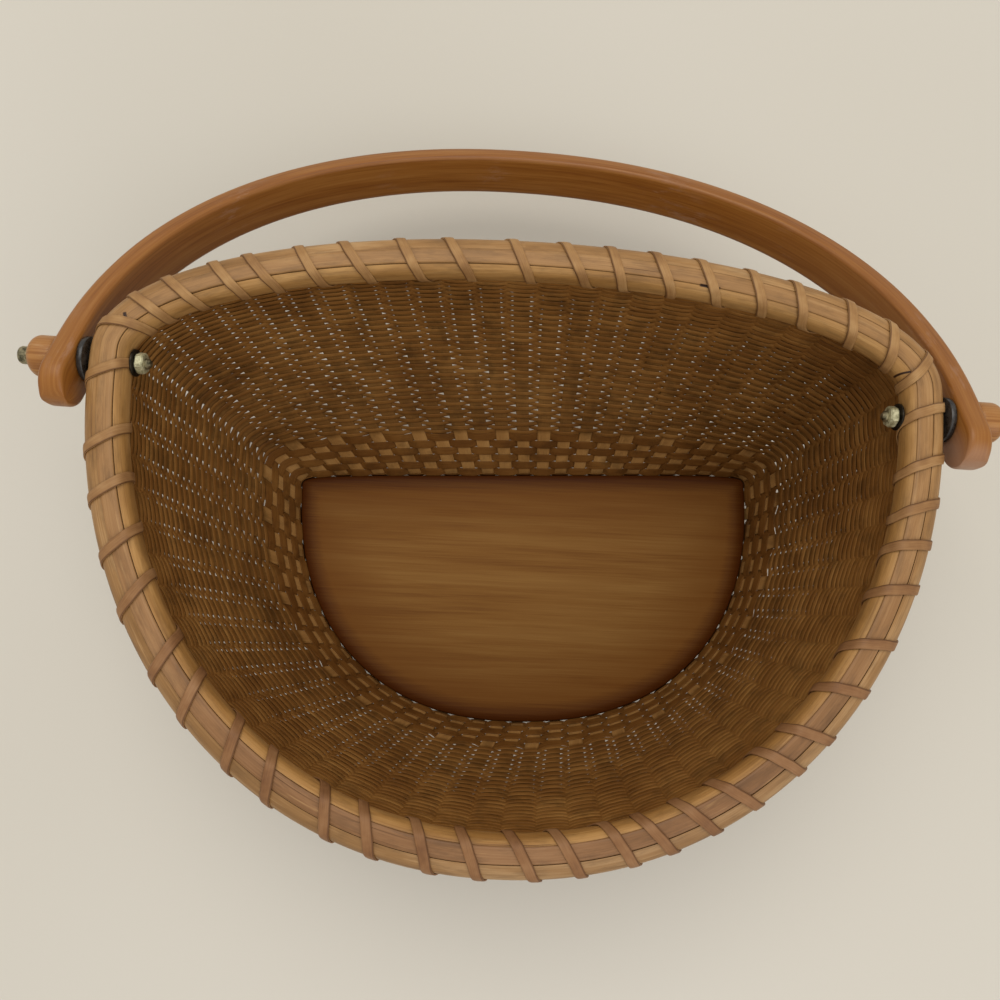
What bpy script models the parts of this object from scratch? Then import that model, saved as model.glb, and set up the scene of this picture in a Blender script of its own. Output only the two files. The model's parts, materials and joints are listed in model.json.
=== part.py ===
"""Half-round Nantucket basket with a wooden base, a lashed rim and a swing handle.

The origin is the middle of the base plate's underside. X runs along the rim's longer side, +Y
towards the flat back and +Z up. Lengths are in metres.
"""

import bisect
import math

import bmesh
import bpy
from mathutils import Vector

# Base plate
base_width = 0.240
base_depth = 0.130
base_thickness = 0.012
base_corner_depth = 0.009
base_edge_bevel = 0.0016
base_front_power = 2.3
base_back_power = 5.0
base_turn = math.radians(2.8)

# Groove round the plate's edge, which holds the staves' feet
groove_depth = 0.0042
groove_middle_height = 0.0074

# Rim, measured on the outside of its outer hoop
rim_width = 0.343
rim_front = 0.192
rim_back = 0.0565
rim_widest_line = 0.083
rim_middle = -0.012
rim_front_power = 2.1
rim_back_power = 2.05
basket_height = 0.135
outer_hoop_thickness = 0.0086
inner_hoop_thickness = 0.0055
hoop_height = 0.0130
hoop_round_power = 2.4
cap_width = 0.0060
cap_thickness = 0.0018
cap_rise = 0.0004

# Staves and weave
stave_count = 65
stave_thickness = 0.0012
stave_tip_width = 0.0040
stave_foot_width = 0.0064
stave_top_width = 0.0083
stave_foot_length = 0.0032
foot_band_width = 0.0012
first_tight_gap = 10
last_tight_gap = 12
tight_gap_share = 0.12
weave_thickness = 0.0034
wide_weave_top = 0.031
weave_lower_height = 0.056
weave_upper_height = 0.085
wall_curve_power = 1.6
clearance = 0.0003

# Lashing
lashing_width = 0.0042
lashing_crossing_width = 0.0032
lashing_thickness = 0.0008
lashing_clearance = 0.0004
lashing_side_share = 0.36
front_wraps = 26
back_wraps = 18

# Handle
handle_straight = 0.004
handle_rise = 0.157
handle_power = 2.13
handle_thickness = 0.0095
handle_width = 0.0203
handle_lobe_width = 0.0215
handle_lobe_reach = 0.0225
handle_blend_length = 0.045
handle_edge_round = 0.0022
handle_rest_tilt = math.radians(-28)

# Pivot hardware
bolt_diameter = 0.0045
bolt_head_diameter = 0.0072
bolt_head_length = 0.0042
bolt_end_length = 0.0022
bolt_drop = 0.0020
bore_clearance = 0.0003
spacer_diameter = 0.0186
spacer_thickness = 0.0024
knob_diameter = 0.0170
knob_length = 0.0122
knob_dome_length = 0.0050
knob_neck_diameter = 0.0150
knob_neck_length = 0.0020
inner_washer_diameter = 0.0110
inner_washer_thickness = 0.0009
nut_width = 0.0080
nut_thickness = 0.0034

# Counts of faces and samples
outline_samples = 2880
round_steps = 16
bore_steps = 12
handle_steps = 30
nut_sides = 6
smooth_angle = math.radians(40)

# Places worked out from the values above
hoop_top = basket_height - cap_rise
hoop_middle = hoop_top - hoop_height / 2
hoop_bottom = hoop_top - hoop_height
cap_seat = basket_height - cap_thickness - clearance
pivot_height = hoop_middle - bolt_drop
lashing_room = lashing_thickness + 2 * lashing_clearance
weave_top = hoop_bottom - lashing_room
slot_half = stave_thickness / 2 + clearance
outer_reach = slot_half + outer_hoop_thickness
inner_reach = slot_half + inner_hoop_thickness
bore_radius = bolt_diameter / 2 + bore_clearance
foot_height = groove_middle_height
weave_bottom = foot_height + stave_thickness / 2 + 2 * clearance


def clear_scene():
    for thing in list(bpy.data.objects):
        bpy.data.objects.remove(thing, do_unlink=True)


def material(name, colour, roughness, metallic=0.0):
    """Plain material with the part's own colour."""
    made = bpy.data.materials.new(name)
    made.use_nodes = True
    shader = made.node_tree.nodes["Principled BSDF"]
    shader.inputs["Base Color"].default_value = (*colour, 1.0)
    shader.inputs["Roughness"].default_value = roughness
    shader.inputs["Metallic"].default_value = metallic
    return made


def add_object(name, mesh, finish):
    thing = bpy.data.objects.new(name, mesh)
    thing.data.materials.append(finish)
    bpy.context.scene.collection.objects.link(thing)
    return thing


def finish_mesh(name, shape):
    """Turn all faces outward and hand the shape over as a mesh."""
    bmesh.ops.recalc_face_normals(shape, faces=shape.faces)
    mesh = bpy.data.meshes.new(name)
    shape.to_mesh(mesh)
    shape.free()
    return mesh


def add_ring(shape, points):
    return [shape.verts.new(point) for point in points]


def join_rings(shape, first, second):
    """Close the band between two rings of as many corners."""
    for here in range(len(first)):
        there = (here + 1) % len(first)
        shape.faces.new((first[here], first[there], second[there], second[here]))


def outline(half_width, front, back, front_power, back_power):
    """D-shaped outline with its corners in the gaps between staves, from the back to the left.

    Each half is a superellipse, and the gaps lie evenly along the outline.
    """
    points = []
    for sample in range(outline_samples + 1):
        angle = math.pi / 2 + 2 * math.pi * sample / outline_samples
        across = math.cos(angle)
        along = math.sin(angle)
        depth, power = (back, back_power) if along >= 0 else (front, front_power)
        x = half_width * math.copysign(abs(across) ** (2 / power), across)
        y = depth * math.copysign(abs(along) ** (2 / power), along)
        points.append(Vector((x, y)))
    walked = [0.0]
    for before, after in zip(points, points[1:]):
        walked.append(walked[-1] + (after - before).length)
    corners = []
    sample = 0
    for place in CORNER_PLACES:
        target = walked[-1] * (place + 0.5) / stave_count
        while walked[sample + 1] < target:
            sample += 1
        share = (target - walked[sample]) / (walked[sample + 1] - walked[sample])
        corners.append(points[sample].lerp(points[sample + 1], share))
    return corners


def corner_places():
    """Places of the outline's corners: one in each gap, and two where the outline turns hard."""
    places = []
    for gap in range(stave_count):
        turn = min(gap, stave_count - 1 - gap)
        if first_tight_gap <= turn <= last_tight_gap:
            places += [gap - tight_gap_share, gap + tight_gap_share]
        else:
            places.append(gap)
    return places


def offset_outline(corners, distance):
    """Move each side of an outline outward by a distance, with mitred corners."""
    moved = []
    for here in range(len(corners)):
        before = corners[here] - corners[here - 1]
        after = corners[(here + 1) % len(corners)] - corners[here]
        out_before = Vector((before.y, -before.x)).normalized()
        out_after = Vector((after.y, -after.x)).normalized()
        mitre = (out_before + out_after) / (1 + out_before.dot(out_after))
        moved.append(corners[here] + mitre * distance)
    return moved


def base_outline():
    """Edge of the base plate, turned a little against the rim."""
    half_depth = base_depth / 2
    corners = outline(base_width / 2, base_depth - base_corner_depth, base_corner_depth,
                      base_front_power, base_back_power)
    turned = []
    for corner in corners:
        x = corner.x
        y = corner.y + half_depth - base_corner_depth
        turned.append(Vector((x * math.cos(base_turn) - y * math.sin(base_turn),
                              x * math.sin(base_turn) + y * math.cos(base_turn))))
    return turned


def rim_outline():
    """Middle line of the rim, between its two hoops."""
    corners = outline(rim_width / 2 - outer_reach, rim_front - outer_reach, rim_back - outer_reach,
                      rim_front_power, rim_back_power)
    return [corner + Vector((rim_middle, rim_widest_line)) for corner in corners]


def rim_spot(place, distance):
    """Point of the rim: place counts gaps between staves, distance is outward of the middle."""
    corners = offset_outline(RIM_LINE, distance)
    after = bisect.bisect(CORNER_PLACES, place % stave_count)
    start = CORNER_PLACES[after - 1]
    end = CORNER_PLACES[after % len(corners)]
    share = (place - start) % stave_count / ((end - start) % stave_count)
    return corners[after - 1].lerp(corners[after % len(corners)], share)


def widest_stave_on_left():
    """The left bolt passes through the stave nearest the rim's widest place."""
    return min(range(stave_count // 2), key=lambda number: rim_spot(number - 0.5, 0.0).x)


def widest_gap_on_right():
    """The right bolt passes through the gap between staves nearest the rim's widest place."""
    return max(range(stave_count // 2, stave_count), key=lambda gap: rim_spot(gap, 0.0).x)


CORNER_PLACES = corner_places()
BASE_EDGE = base_outline()
WALL_FOOT = offset_outline(BASE_EDGE, weave_thickness / 2 + clearance)
RIM_LINE = rim_outline()
LEFT_PIVOT_STAVE = widest_stave_on_left()
LEFT_PIVOT_PLACE = LEFT_PIVOT_STAVE - 0.5
RIGHT_PIVOT_PLACE = widest_gap_on_right()
WIDE_HEIGHTS = (weave_bottom, base_thickness, wide_weave_top)
FINE_HEIGHTS = (weave_lower_height, weave_upper_height, weave_top)


def wall_outline(height):
    """Middle line of the wall at a height: it stands beside the base, then opens out to the rim."""
    share = min(1.0, max(0.0, (height - base_thickness) / (weave_top - base_thickness)))
    spread = 1 - (1 - share) ** wall_curve_power
    return [foot.lerp(top, spread) for foot, top in zip(WALL_FOOT, RIM_LINE)]


def stave_width(height):
    share = min(1.0, (height - foot_height) / (weave_top - foot_height))
    return stave_foot_width + (stave_top_width - stave_foot_width) * share


def stave_side(ring, number):
    """The two members of a ring's corners between which a stave lies."""
    place = number % stave_count - 0.5
    after = bisect.bisect(CORNER_PLACES, place)
    return ring[after - 1], ring[after % len(ring)]


def gap_sides(ring):
    """Sides of a ring that cross a gap between two staves."""
    sides = []
    for here in range(1, len(ring)):
        if math.floor(CORNER_PLACES[here - 1] + 0.5) == math.floor(CORNER_PLACES[here] + 0.5):
            sides.append((ring[here - 1], ring[here]))
    return sides


def stave_seat(corners, number):
    """Middle of a stave on its side of an outline, with the side's direction and normal."""
    start, end = stave_side(corners, number)
    start_place, end_place = stave_side(CORNER_PLACES, number)
    length = (end_place - start_place) % stave_count
    share = (number - 0.5 - start_place) % stave_count / length
    direction = (end - start).normalized()
    normal = Vector((direction.y, -direction.x))
    return start.lerp(end, share), direction, normal


def stave_section(corners, number, width, inner, outer):
    """Four corners of a stave: each face's distance from the wall's middle line and its height."""
    middle, direction, normal = stave_seat(corners, number)
    points = []
    for reach, side in ((inner, -1), (inner, 1), (outer, 1), (outer, -1)):
        spot = middle + direction * (side * width / 2) + normal * reach[0]
        points.append((spot.x, spot.y, reach[1]))
    return points


def stave_sections(number):
    """Sections of one stave: its foot lies in the plate's groove, and it climbs to the hoops."""
    half = stave_thickness / 2
    top = foot_height + half
    bottom = foot_height - half
    tip = -weave_thickness / 2 - clearance - stave_foot_length
    band = tip + foot_band_width
    sections = [
        stave_section(WALL_FOOT, number, stave_tip_width, (tip, top), (tip, bottom)),
        stave_section(WALL_FOOT, number, stave_tip_width, (band, top), (band, bottom)),
        stave_section(WALL_FOOT, number, stave_foot_width, (-half, top), (half, bottom)),
    ]
    for height in (*WIDE_HEIGHTS, *FINE_HEIGHTS, cap_seat):
        sections.append(stave_section(wall_outline(height), number, stave_width(height),
                                      (-half, height), (half, height)))
    return sections


def join_feet(shape, left_side, right_side):
    """Carry the band along the groove from one stave's foot to the next, or close its end."""
    if left_side and right_side:
        join_rings(shape, left_side, right_side)
    else:
        shape.faces.new(left_side or right_side)


def add_staves(shape, numbers):
    """Staves side by side, held together by the band that their feet's tips lie against."""
    last_side = None
    for number in numbers:
        rings = [add_ring(shape, section) for section in stave_sections(number)]
        tip, band = rings[0], rings[1]
        shape.faces.new(tip)
        shape.faces.new((tip[0], tip[1], band[1], band[0]))
        shape.faces.new((tip[2], tip[3], band[3], band[2]))
        join_feet(shape, last_side, (tip[0], band[0], band[3], tip[3]))
        last_side = (tip[1], band[1], band[2], tip[2])
        for lower, upper in zip(rings[1:], rings[2:]):
            join_rings(shape, lower, upper)
        shape.faces.new(rings[-1])
    join_feet(shape, last_side, None)


def build_staves(finish, cutter):
    """Staves in four groups, one for each side of the basket. The left bolt passes through one."""
    quarter = first_tight_gap + 1
    back = list(range(-quarter, quarter + 1))
    side_count = (stave_count - len(back)) // 3
    left = list(range(quarter + 1, quarter + 1 + side_count))
    right = [-number for number in reversed(left)]
    front = list(range(left[-1] + 1, stave_count - left[-1]))
    groups = {"staves_back": back, "staves_left": left, "staves_right": right, "staves_front": front}
    for name, numbers in groups.items():
        shape = bmesh.new()
        add_staves(shape, numbers)
        group = add_object(name, finish_mesh(name, shape), finish)
        if LEFT_PIVOT_STAVE in numbers:
            cut_bore(group, cutter)


def weave_level(shape, height):
    """Corners of the weave at a height: its two faces and the tunnels that the staves pass."""
    corners = wall_outline(height)
    outer = [(spot.x, spot.y, height) for spot in offset_outline(corners, weave_thickness / 2)]
    inner = [(spot.x, spot.y, height) for spot in offset_outline(corners, -weave_thickness / 2)]
    tunnels = []
    for number in range(stave_count):
        width = stave_width(height) + 2 * clearance
        section = stave_section(corners, number, width, (-slot_half, height), (slot_half, height))
        tunnels.append(add_ring(shape, section))
    return add_ring(shape, outer), add_ring(shape, inner), tunnels


def cap_weave(shape, level):
    """Close one end of the weave round each tunnel."""
    outer, inner, tunnels = level
    for number in range(stave_count):
        inner_start, inner_end = stave_side(inner, number)
        outer_start, outer_end = stave_side(outer, number)
        join_rings(shape, (inner_start, inner_end, outer_end, outer_start), tunnels[number])
    for inner_side, outer_side in zip(gap_sides(inner), gap_sides(outer)):
        shape.faces.new((*inner_side, *reversed(outer_side)))


def build_weave(name, heights, finish):
    """A band of weave: one closed wall threaded by every stave."""
    shape = bmesh.new()
    levels = [weave_level(shape, height) for height in heights]
    for lower, upper in zip(levels, levels[1:]):
        join_rings(shape, lower[0], upper[0])
        join_rings(shape, lower[1], upper[1])
        for low_tunnel, high_tunnel in zip(lower[2], upper[2]):
            join_rings(shape, low_tunnel, high_tunnel)
    cap_weave(shape, levels[0])
    cap_weave(shape, levels[-1])
    add_object(name, finish_mesh(name, shape), finish)


def sweep_outline(name, corners, profile, finish):
    """Carry a closed profile of (distance outward, height) points round an outline."""
    shape = bmesh.new()
    rings = []
    for distance, height in profile:
        moved = offset_outline(corners, distance)
        rings.append(add_ring(shape, [(spot.x, spot.y, height) for spot in moved]))
    for number in range(len(rings)):
        join_rings(shape, rings[number - 1], rings[number])
    return add_object(name, finish_mesh(name, shape), finish)


def build_base(finish):
    """D-shaped plate with bevelled edges and the groove for the staves' feet."""
    groove_half = slot_half
    profile = [
        (-base_edge_bevel, 0.0),
        (0.0, base_edge_bevel),
        (0.0, groove_middle_height - groove_half),
        (-groove_depth, groove_middle_height - groove_half),
        (-groove_depth, groove_middle_height + groove_half),
        (0.0, groove_middle_height + groove_half),
        (0.0, base_thickness - base_edge_bevel),
        (-base_edge_bevel, base_thickness),
    ]
    shape = bmesh.new()
    rings = []
    for distance, height in profile:
        moved = offset_outline(BASE_EDGE, distance)
        rings.append(add_ring(shape, [(spot.x, spot.y, height) for spot in moved]))
    for lower, upper in zip(rings, rings[1:]):
        join_rings(shape, lower, upper)
    shape.faces.new(rings[0])
    shape.faces.new(rings[-1])
    add_object("base_plate", finish_mesh("base_plate", shape), finish)


def hoop_profile(side, thickness):
    """Half-round hoop: flat against the staves, round outside, with a step that holds the cap."""
    turn_shares = (-1.0, -0.8, -0.45, 0.0, 0.45, 0.75)
    shelf = cap_width / 2 + clearance
    points = [(slot_half, cap_seat), (slot_half, hoop_bottom)]
    for share in turn_shares:
        angle = share * math.pi / 2
        reach = thickness * max(0.0, math.cos(angle)) ** (2 / hoop_round_power)
        rise = math.copysign(abs(math.sin(angle)) ** (2 / hoop_round_power), share)
        points.append((max(shelf, slot_half + reach), hoop_middle + rise * hoop_height / 2))
    shelf_rise = (1 - ((shelf - slot_half) / thickness) ** hoop_round_power) ** (1 / hoop_round_power)
    points += [(shelf, hoop_middle + shelf_rise * hoop_height / 2), (shelf, cap_seat)]
    return [(side * distance, height) for distance, height in points]


def build_rim(finish, cutter):
    """Outer hoop, inner hoop and the cap strip that covers the joint between them."""
    outer = sweep_outline("outer_hoop", RIM_LINE, hoop_profile(1, outer_hoop_thickness), finish)
    inner = sweep_outline("inner_hoop", RIM_LINE, hoop_profile(-1, inner_hoop_thickness), finish)
    for hoop in (outer, inner):
        cut_bore(hoop, cutter)
    half = cap_width / 2
    bottom = basket_height - cap_thickness
    profile = [(-half, bottom), (half, bottom), (half, basket_height), (-half, basket_height)]
    sweep_outline("rim_cap", RIM_LINE, profile, finish)


def rim_direction(place):
    """Direction along the rim at a place, halfway between its two sides at a corner."""
    near_share = 0.01
    return (rim_spot(place + near_share, 0.0) - rim_spot(place - near_share, 0.0)).normalized()


def gap_pitch():
    """Distance along the rim from one gap between staves to the next."""
    sides = [(RIM_LINE[here] - RIM_LINE[here - 1]).length for here in range(len(RIM_LINE))]
    return sum(sides) / stave_count


def lashing_turns():
    """Evenly spaced places of the wraps, clockwise from above, none of them at a bolt.

    The first runs from in front of the right bolt round the front, and the last ends behind it.
    """
    first = RIGHT_PIVOT_PLACE - 1
    front_gaps = first - LEFT_PIVOT_STAVE - 1
    turns = [first - front_gaps * turn / front_wraps for turn in range(front_wraps + 1)]
    start = LEFT_PIVOT_STAVE - 2
    back_gaps = start + stave_count - RIGHT_PIVOT_PLACE - 1
    turns += [start - back_gaps * turn / back_wraps for turn in range(back_wraps + 1)]
    return turns + [first - stave_count]


def lashing_ring(place, half_width, near, far):
    """Section of the strip at a place: near and far are (distance, height) of its two faces.

    Outside the hoops the strip lies flat, and inside each edge keeps its own distance.
    """
    points = []
    inside = near[0] < 0
    for face, side in ((near, -1), (near, 1), (far, 1), (far, -1)):
        if inside:
            spot = rim_spot(place + side * half_width / gap_pitch(), face[0])
        else:
            spot = rim_spot(place, face[0]) + rim_direction(place) * (side * half_width)
        points.append((spot.x, spot.y, face[1]))
    return points


def lashing_side(reach):
    """Faces of the strip round one hoop, from below it to the cap."""
    gap = lashing_clearance
    thick = lashing_thickness
    side_near = reach + gap
    side_far = side_near + thick
    top_half = cap_width / 2 + gap
    low = hoop_bottom - gap
    high_side = hoop_middle + hoop_height * lashing_side_share
    low_side = hoop_middle - hoop_height * lashing_side_share
    return [
        ((top_half, low), (top_half + thick, low - thick)),
        ((side_near, low_side), (side_far, low_side - thick / 2)),
        ((side_near, high_side), (side_far, high_side + thick / 2)),
        ((top_half, basket_height + gap), (top_half + thick, basket_height + gap + thick)),
    ]


def lashing_path():
    """Faces of the strip round the rim's section, from under the outer hoop to under the inner."""
    inner = [((-near[0], near[1]), (-far[0], far[1])) for near, far in lashing_side(inner_reach)]
    return lashing_side(outer_reach) + inner[::-1]


def build_lashing(finish):
    """One unbroken strip wound round the rim, crossing under it through the gaps between staves."""
    shape = bmesh.new()
    path = lashing_path()
    top_start_share = 0.15
    advance_shares = (0.0, 0.0, 0.0, top_start_share, 1 - top_start_share, 1.0, 1.0, 1.0)
    rings = []
    turns = lashing_turns()
    for here, there in zip(turns, turns[1:]):
        for step, (near, far) in enumerate(path):
            place = here + (there - here) * advance_shares[step]
            half_width = lashing_width / 2
            if step == 0:
                place = round(here)
            if step == len(path) - 1:
                place = round(there)
            if step in (0, len(path) - 1):
                half_width = lashing_crossing_width / 2
            rings.append(add_ring(shape, lashing_ring(place, half_width, near, far)))
    for before, after in zip(rings, rings[1:]):
        join_rings(shape, before, after)
    shape.faces.new(rings[0])
    shape.faces.new(rings[-1])
    add_object("rim_lashing", finish_mesh("rim_lashing", shape), finish)


def pivot_line():
    """Middle of the bolts' line and its level direction, from the left bolt to the right."""
    left = rim_spot(LEFT_PIVOT_PLACE, outer_reach)
    right = rim_spot(RIGHT_PIVOT_PLACE, outer_reach)
    middle = (left + right) / 2
    turn = math.atan2(right.y - left.y, right.x - left.x)
    return Vector((middle.x, middle.y, pivot_height)), turn


def seats(line, pivot_place, reach, diameter):
    """Distances along the bolts' line of a face of the rim, at a round piece's middle and edges."""
    middle, turn = line
    along = Vector((math.cos(turn), math.sin(turn)))
    share = diameter / 2 / gap_pitch()
    spots = [rim_spot(pivot_place + step, reach) for step in (-share, 0.0, share)]
    return [abs((spot - middle.xy).dot(along)) for spot in spots]


def add_cutter(name, radius, half_length, place, turn):
    """Round cutter along the bolts' line."""
    shape = bmesh.new()
    ends = []
    for x in (-half_length, half_length):
        points = []
        for step in range(bore_steps):
            angle = 2 * math.pi * (step + 0.5) / bore_steps
            points.append((x, radius * math.cos(angle), radius * math.sin(angle)))
        ends.append(add_ring(shape, points))
    join_rings(shape, ends[0], ends[1])
    shape.faces.new(ends[0])
    shape.faces.new(ends[1])
    cutter = bpy.data.objects.new(name, finish_mesh(name, shape))
    bpy.context.scene.collection.objects.link(cutter)
    cutter.location = place
    cutter.rotation_euler = (0.0, 0.0, turn)
    cutter.hide_render = True
    cutter.display_type = "WIRE"
    return cutter


def cut_bore(thing, cutter):
    cut = thing.modifiers.new("bore", "BOOLEAN")
    cut.operation = "DIFFERENCE"
    cut.solver = "EXACT"
    cut.object = cutter


def lobe_half_width(along):
    """Half the handle's width at a distance along its arm: a round lobe, then a slimmer band."""
    lobe = handle_lobe_width / 2
    centre = lobe - handle_lobe_reach
    if along < centre:
        return math.sqrt(max(lobe ** 2 - (along - centre) ** 2, 0.0))
    share = min(1.0, max(0.0, along / handle_blend_length))
    return lobe + (handle_width / 2 - lobe) * share


def handle_path(half_span):
    """Points and outward directions of the bow's inner face, from one lobe's end to the other."""
    lobe = handle_lobe_width / 2
    lobe_angle_shares = (0.12, 0.35, 0.6, 0.8, 1.0)
    arm = []
    for share in lobe_angle_shares:
        along = lobe - handle_lobe_reach - lobe * math.cos(share * math.pi / 2)
        arm.append((Vector((half_span, along)), Vector((1.0, 0.0)), along))
    for along in (0.0, handle_straight):
        arm.append((Vector((half_span, along)), Vector((1.0, 0.0)), along))
    height = handle_rise - handle_straight
    bow = []
    for step in range(1, handle_steps):
        angle = math.pi * step / handle_steps
        across = math.cos(angle)
        x = half_span * math.copysign(abs(across) ** (2 / handle_power), across)
        y = height * math.sin(angle) ** (2 / handle_power)
        slope_x = math.copysign((abs(x) / half_span) ** (handle_power - 1), x) / half_span
        slope_y = (y / height) ** (handle_power - 1) / height
        along = handle_straight + y
        bow.append((Vector((x, along)), Vector((slope_x, slope_y)).normalized(), along))
    other = [(Vector((-spot.x, spot.y)), Vector((-out.x, out.y)), along)
             for spot, out, along in reversed(arm)]
    return arm + bow + other


def build_handle(half_span, place, turn, finish, cutter):
    """Bent wooden bow whose arms end in round lobes below the bolts."""
    shape = bmesh.new()
    rings = []
    for spot, out, along in handle_path(half_span):
        half = lobe_half_width(along)
        edge = min(handle_edge_round, half / 2)
        corners = (
            (0.0, half - edge), (edge, half), (handle_thickness - edge, half),
            (handle_thickness, half - edge), (handle_thickness, edge - half),
            (handle_thickness - edge, -half), (edge, -half), (0.0, edge - half),
        )
        points = []
        for reach, across in corners:
            flat = spot + out * reach
            points.append((flat.x, flat.y, across))
        rings.append(add_ring(shape, points))
    for before, after in zip(rings, rings[1:]):
        join_rings(shape, before, after)
    shape.faces.new(rings[0])
    shape.faces.new(rings[-1])
    handle = add_object("handle", finish_mesh("handle", shape), finish)
    handle.location = place
    handle.rotation_euler = (handle_rest_tilt, 0.0, turn)
    cut_bore(handle, cutter)
    return handle


def turned_piece(name, profile, steps, seat, finish):
    """Turn a closed profile of (radius, distance outward) points about the bolts' line."""
    place, turn, side = seat
    shape = bmesh.new()
    rings = []
    for radius, outward in profile:
        points = []
        for step in range(steps):
            angle = 2 * math.pi * (step + 0.5) / steps
            points.append((side * outward, radius * math.cos(angle), radius * math.sin(angle)))
        rings.append(add_ring(shape, points))
    for number in range(len(rings)):
        join_rings(shape, rings[number - 1], rings[number])
    thing = add_object(name, finish_mesh(name, shape), finish)
    thing.location = place
    thing.rotation_euler = (0.0, 0.0, turn)
    thing.data.set_sharp_from_angle(angle=smooth_angle)
    return thing


def washer_profile(diameter, start, thickness):
    outer = diameter / 2
    return [(bore_radius, start), (outer, start), (outer, start + thickness),
            (bore_radius, start + thickness)]


def knob_profile(start):
    """Round wooden knob: a short neck, a full barrel and a domed end."""
    dome_shares = (0.0, 0.35, 0.65, 0.85)
    barrel = knob_diameter / 2
    end = start + knob_length
    dome = end - knob_dome_length
    points = [(bore_radius, start), (knob_neck_diameter / 2, start), (barrel, start + knob_neck_length)]
    for share in dome_shares:
        points.append((barrel * math.sqrt(1 - share ** 2), dome + knob_dome_length * share))
    points.append((bolt_head_diameter / 2, end))
    points.append((bore_radius, end))
    return points


def build_bolt(name, inner_end, outer_end, seat, finish):
    """Bolt through the whole stack, with a round head at its outer end."""
    place, turn, side = seat
    shape = bmesh.new()
    shank = bolt_diameter / 2
    head = bolt_head_diameter / 2
    head_round = bolt_head_length / 4
    profile = [(shank, inner_end), (shank, outer_end), (head, outer_end),
               (head, outer_end + bolt_head_length - head_round),
               (head - head_round, outer_end + bolt_head_length)]
    rings = []
    for radius, outward in profile:
        points = []
        for step in range(bore_steps):
            angle = 2 * math.pi * (step + 0.5) / bore_steps
            points.append((side * outward, radius * math.cos(angle), radius * math.sin(angle)))
        rings.append(add_ring(shape, points))
    for before, after in zip(rings, rings[1:]):
        join_rings(shape, before, after)
    shape.faces.new(rings[0])
    shape.faces.new(rings[-1])
    thing = add_object(name, finish_mesh(name, shape), finish)
    thing.location = place
    thing.rotation_euler = (0.0, 0.0, turn)


def build_nut(name, start, seat, finish, cutter):
    """Hexagonal nut on the bolt's inner end."""
    place, turn, side = seat
    corner = nut_width / 2 / math.cos(math.pi / nut_sides)
    shape = bmesh.new()
    ends = []
    for outward in (start, start - nut_thickness):
        points = []
        for step in range(nut_sides):
            angle = 2 * math.pi * step / nut_sides
            points.append((side * outward, corner * math.cos(angle), corner * math.sin(angle)))
        ends.append(add_ring(shape, points))
    join_rings(shape, ends[0], ends[1])
    shape.faces.new(ends[0])
    shape.faces.new(ends[1])
    nut = add_object(name, finish_mesh(name, shape), finish)
    nut.location = place
    nut.rotation_euler = (0.0, 0.0, turn)
    cut_bore(nut, cutter)


def build_pivots(line, finishes, cutter):
    """Hardware at each end of the bolts' line, stacked outward from the rim, and the handle."""
    place, turn = line
    sides = ((-1, "left", LEFT_PIVOT_PLACE), (1, "right", RIGHT_PIVOT_PLACE))
    half_span = max(max(seats(line, spot, outer_reach, spacer_diameter)) for _, _, spot in sides)
    spacer_start = half_span + clearance
    handle_start = spacer_start + spacer_thickness + clearance
    knob_start = handle_start + handle_thickness + clearance
    head_start = knob_start + knob_length + clearance
    for side, word, spot in sides:
        seat = (place, turn, side)
        inside = min(seats(line, spot, -inner_reach, inner_washer_diameter))
        washer_start = inside - clearance - inner_washer_thickness
        nut_end = washer_start - clearance
        bolt_end = nut_end - nut_thickness - bolt_end_length
        turned_piece(word + "_spacer", washer_profile(spacer_diameter, spacer_start, spacer_thickness),
                     round_steps, seat, finishes["rubber"])
        turned_piece(word + "_knob", knob_profile(knob_start), round_steps, seat, finishes["wood"])
        turned_piece(word + "_inner_washer",
                     washer_profile(inner_washer_diameter, washer_start, inner_washer_thickness),
                     round_steps, seat, finishes["dark"])
        build_bolt(word + "_bolt", bolt_end, head_start, seat, finishes["steel"])
        build_nut(word + "_nut", nut_end, seat, finishes["brass"], cutter)
    build_handle(handle_start, place, turn, finishes["wood"], cutter)


def main():
    clear_scene()
    finishes = {
        "wood": material("handle_wood", (0.30, 0.15, 0.06), 0.5),
        "base": material("base_wood", (0.25, 0.12, 0.04), 0.5),
        "cane": material("stave_cane", (0.16, 0.08, 0.035), 0.6),
        "weave": material("weave_cane", (0.14, 0.07, 0.03), 0.6),
        "hoop": material("rim_wood", (0.42, 0.24, 0.11), 0.5),
        "strip": material("lashing_cane", (0.34, 0.19, 0.10), 0.5),
        "rubber": material("spacer_black", (0.015, 0.013, 0.012), 0.5),
        "dark": material("washer_dark", (0.03, 0.027, 0.02), 0.4, 0.6),
        "steel": material("bolt_steel", (0.18, 0.17, 0.13), 0.4, 1.0),
        "brass": material("nut_brass", (0.32, 0.30, 0.20), 0.35, 1.0),
    }
    line = pivot_line()
    cutter = add_cutter("bore_cutter", bore_radius, rim_width, line[0], line[1])
    build_base(finishes["base"])
    build_staves(finishes["cane"], cutter)
    build_weave("wide_weave", WIDE_HEIGHTS, finishes["weave"])
    build_weave("fine_weave", (wide_weave_top + clearance, *FINE_HEIGHTS), finishes["weave"])
    build_rim(finishes["hoop"], cutter)
    build_lashing(finishes["strip"])
    build_pivots(line, finishes, cutter)


main()
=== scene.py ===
import json
import math

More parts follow.
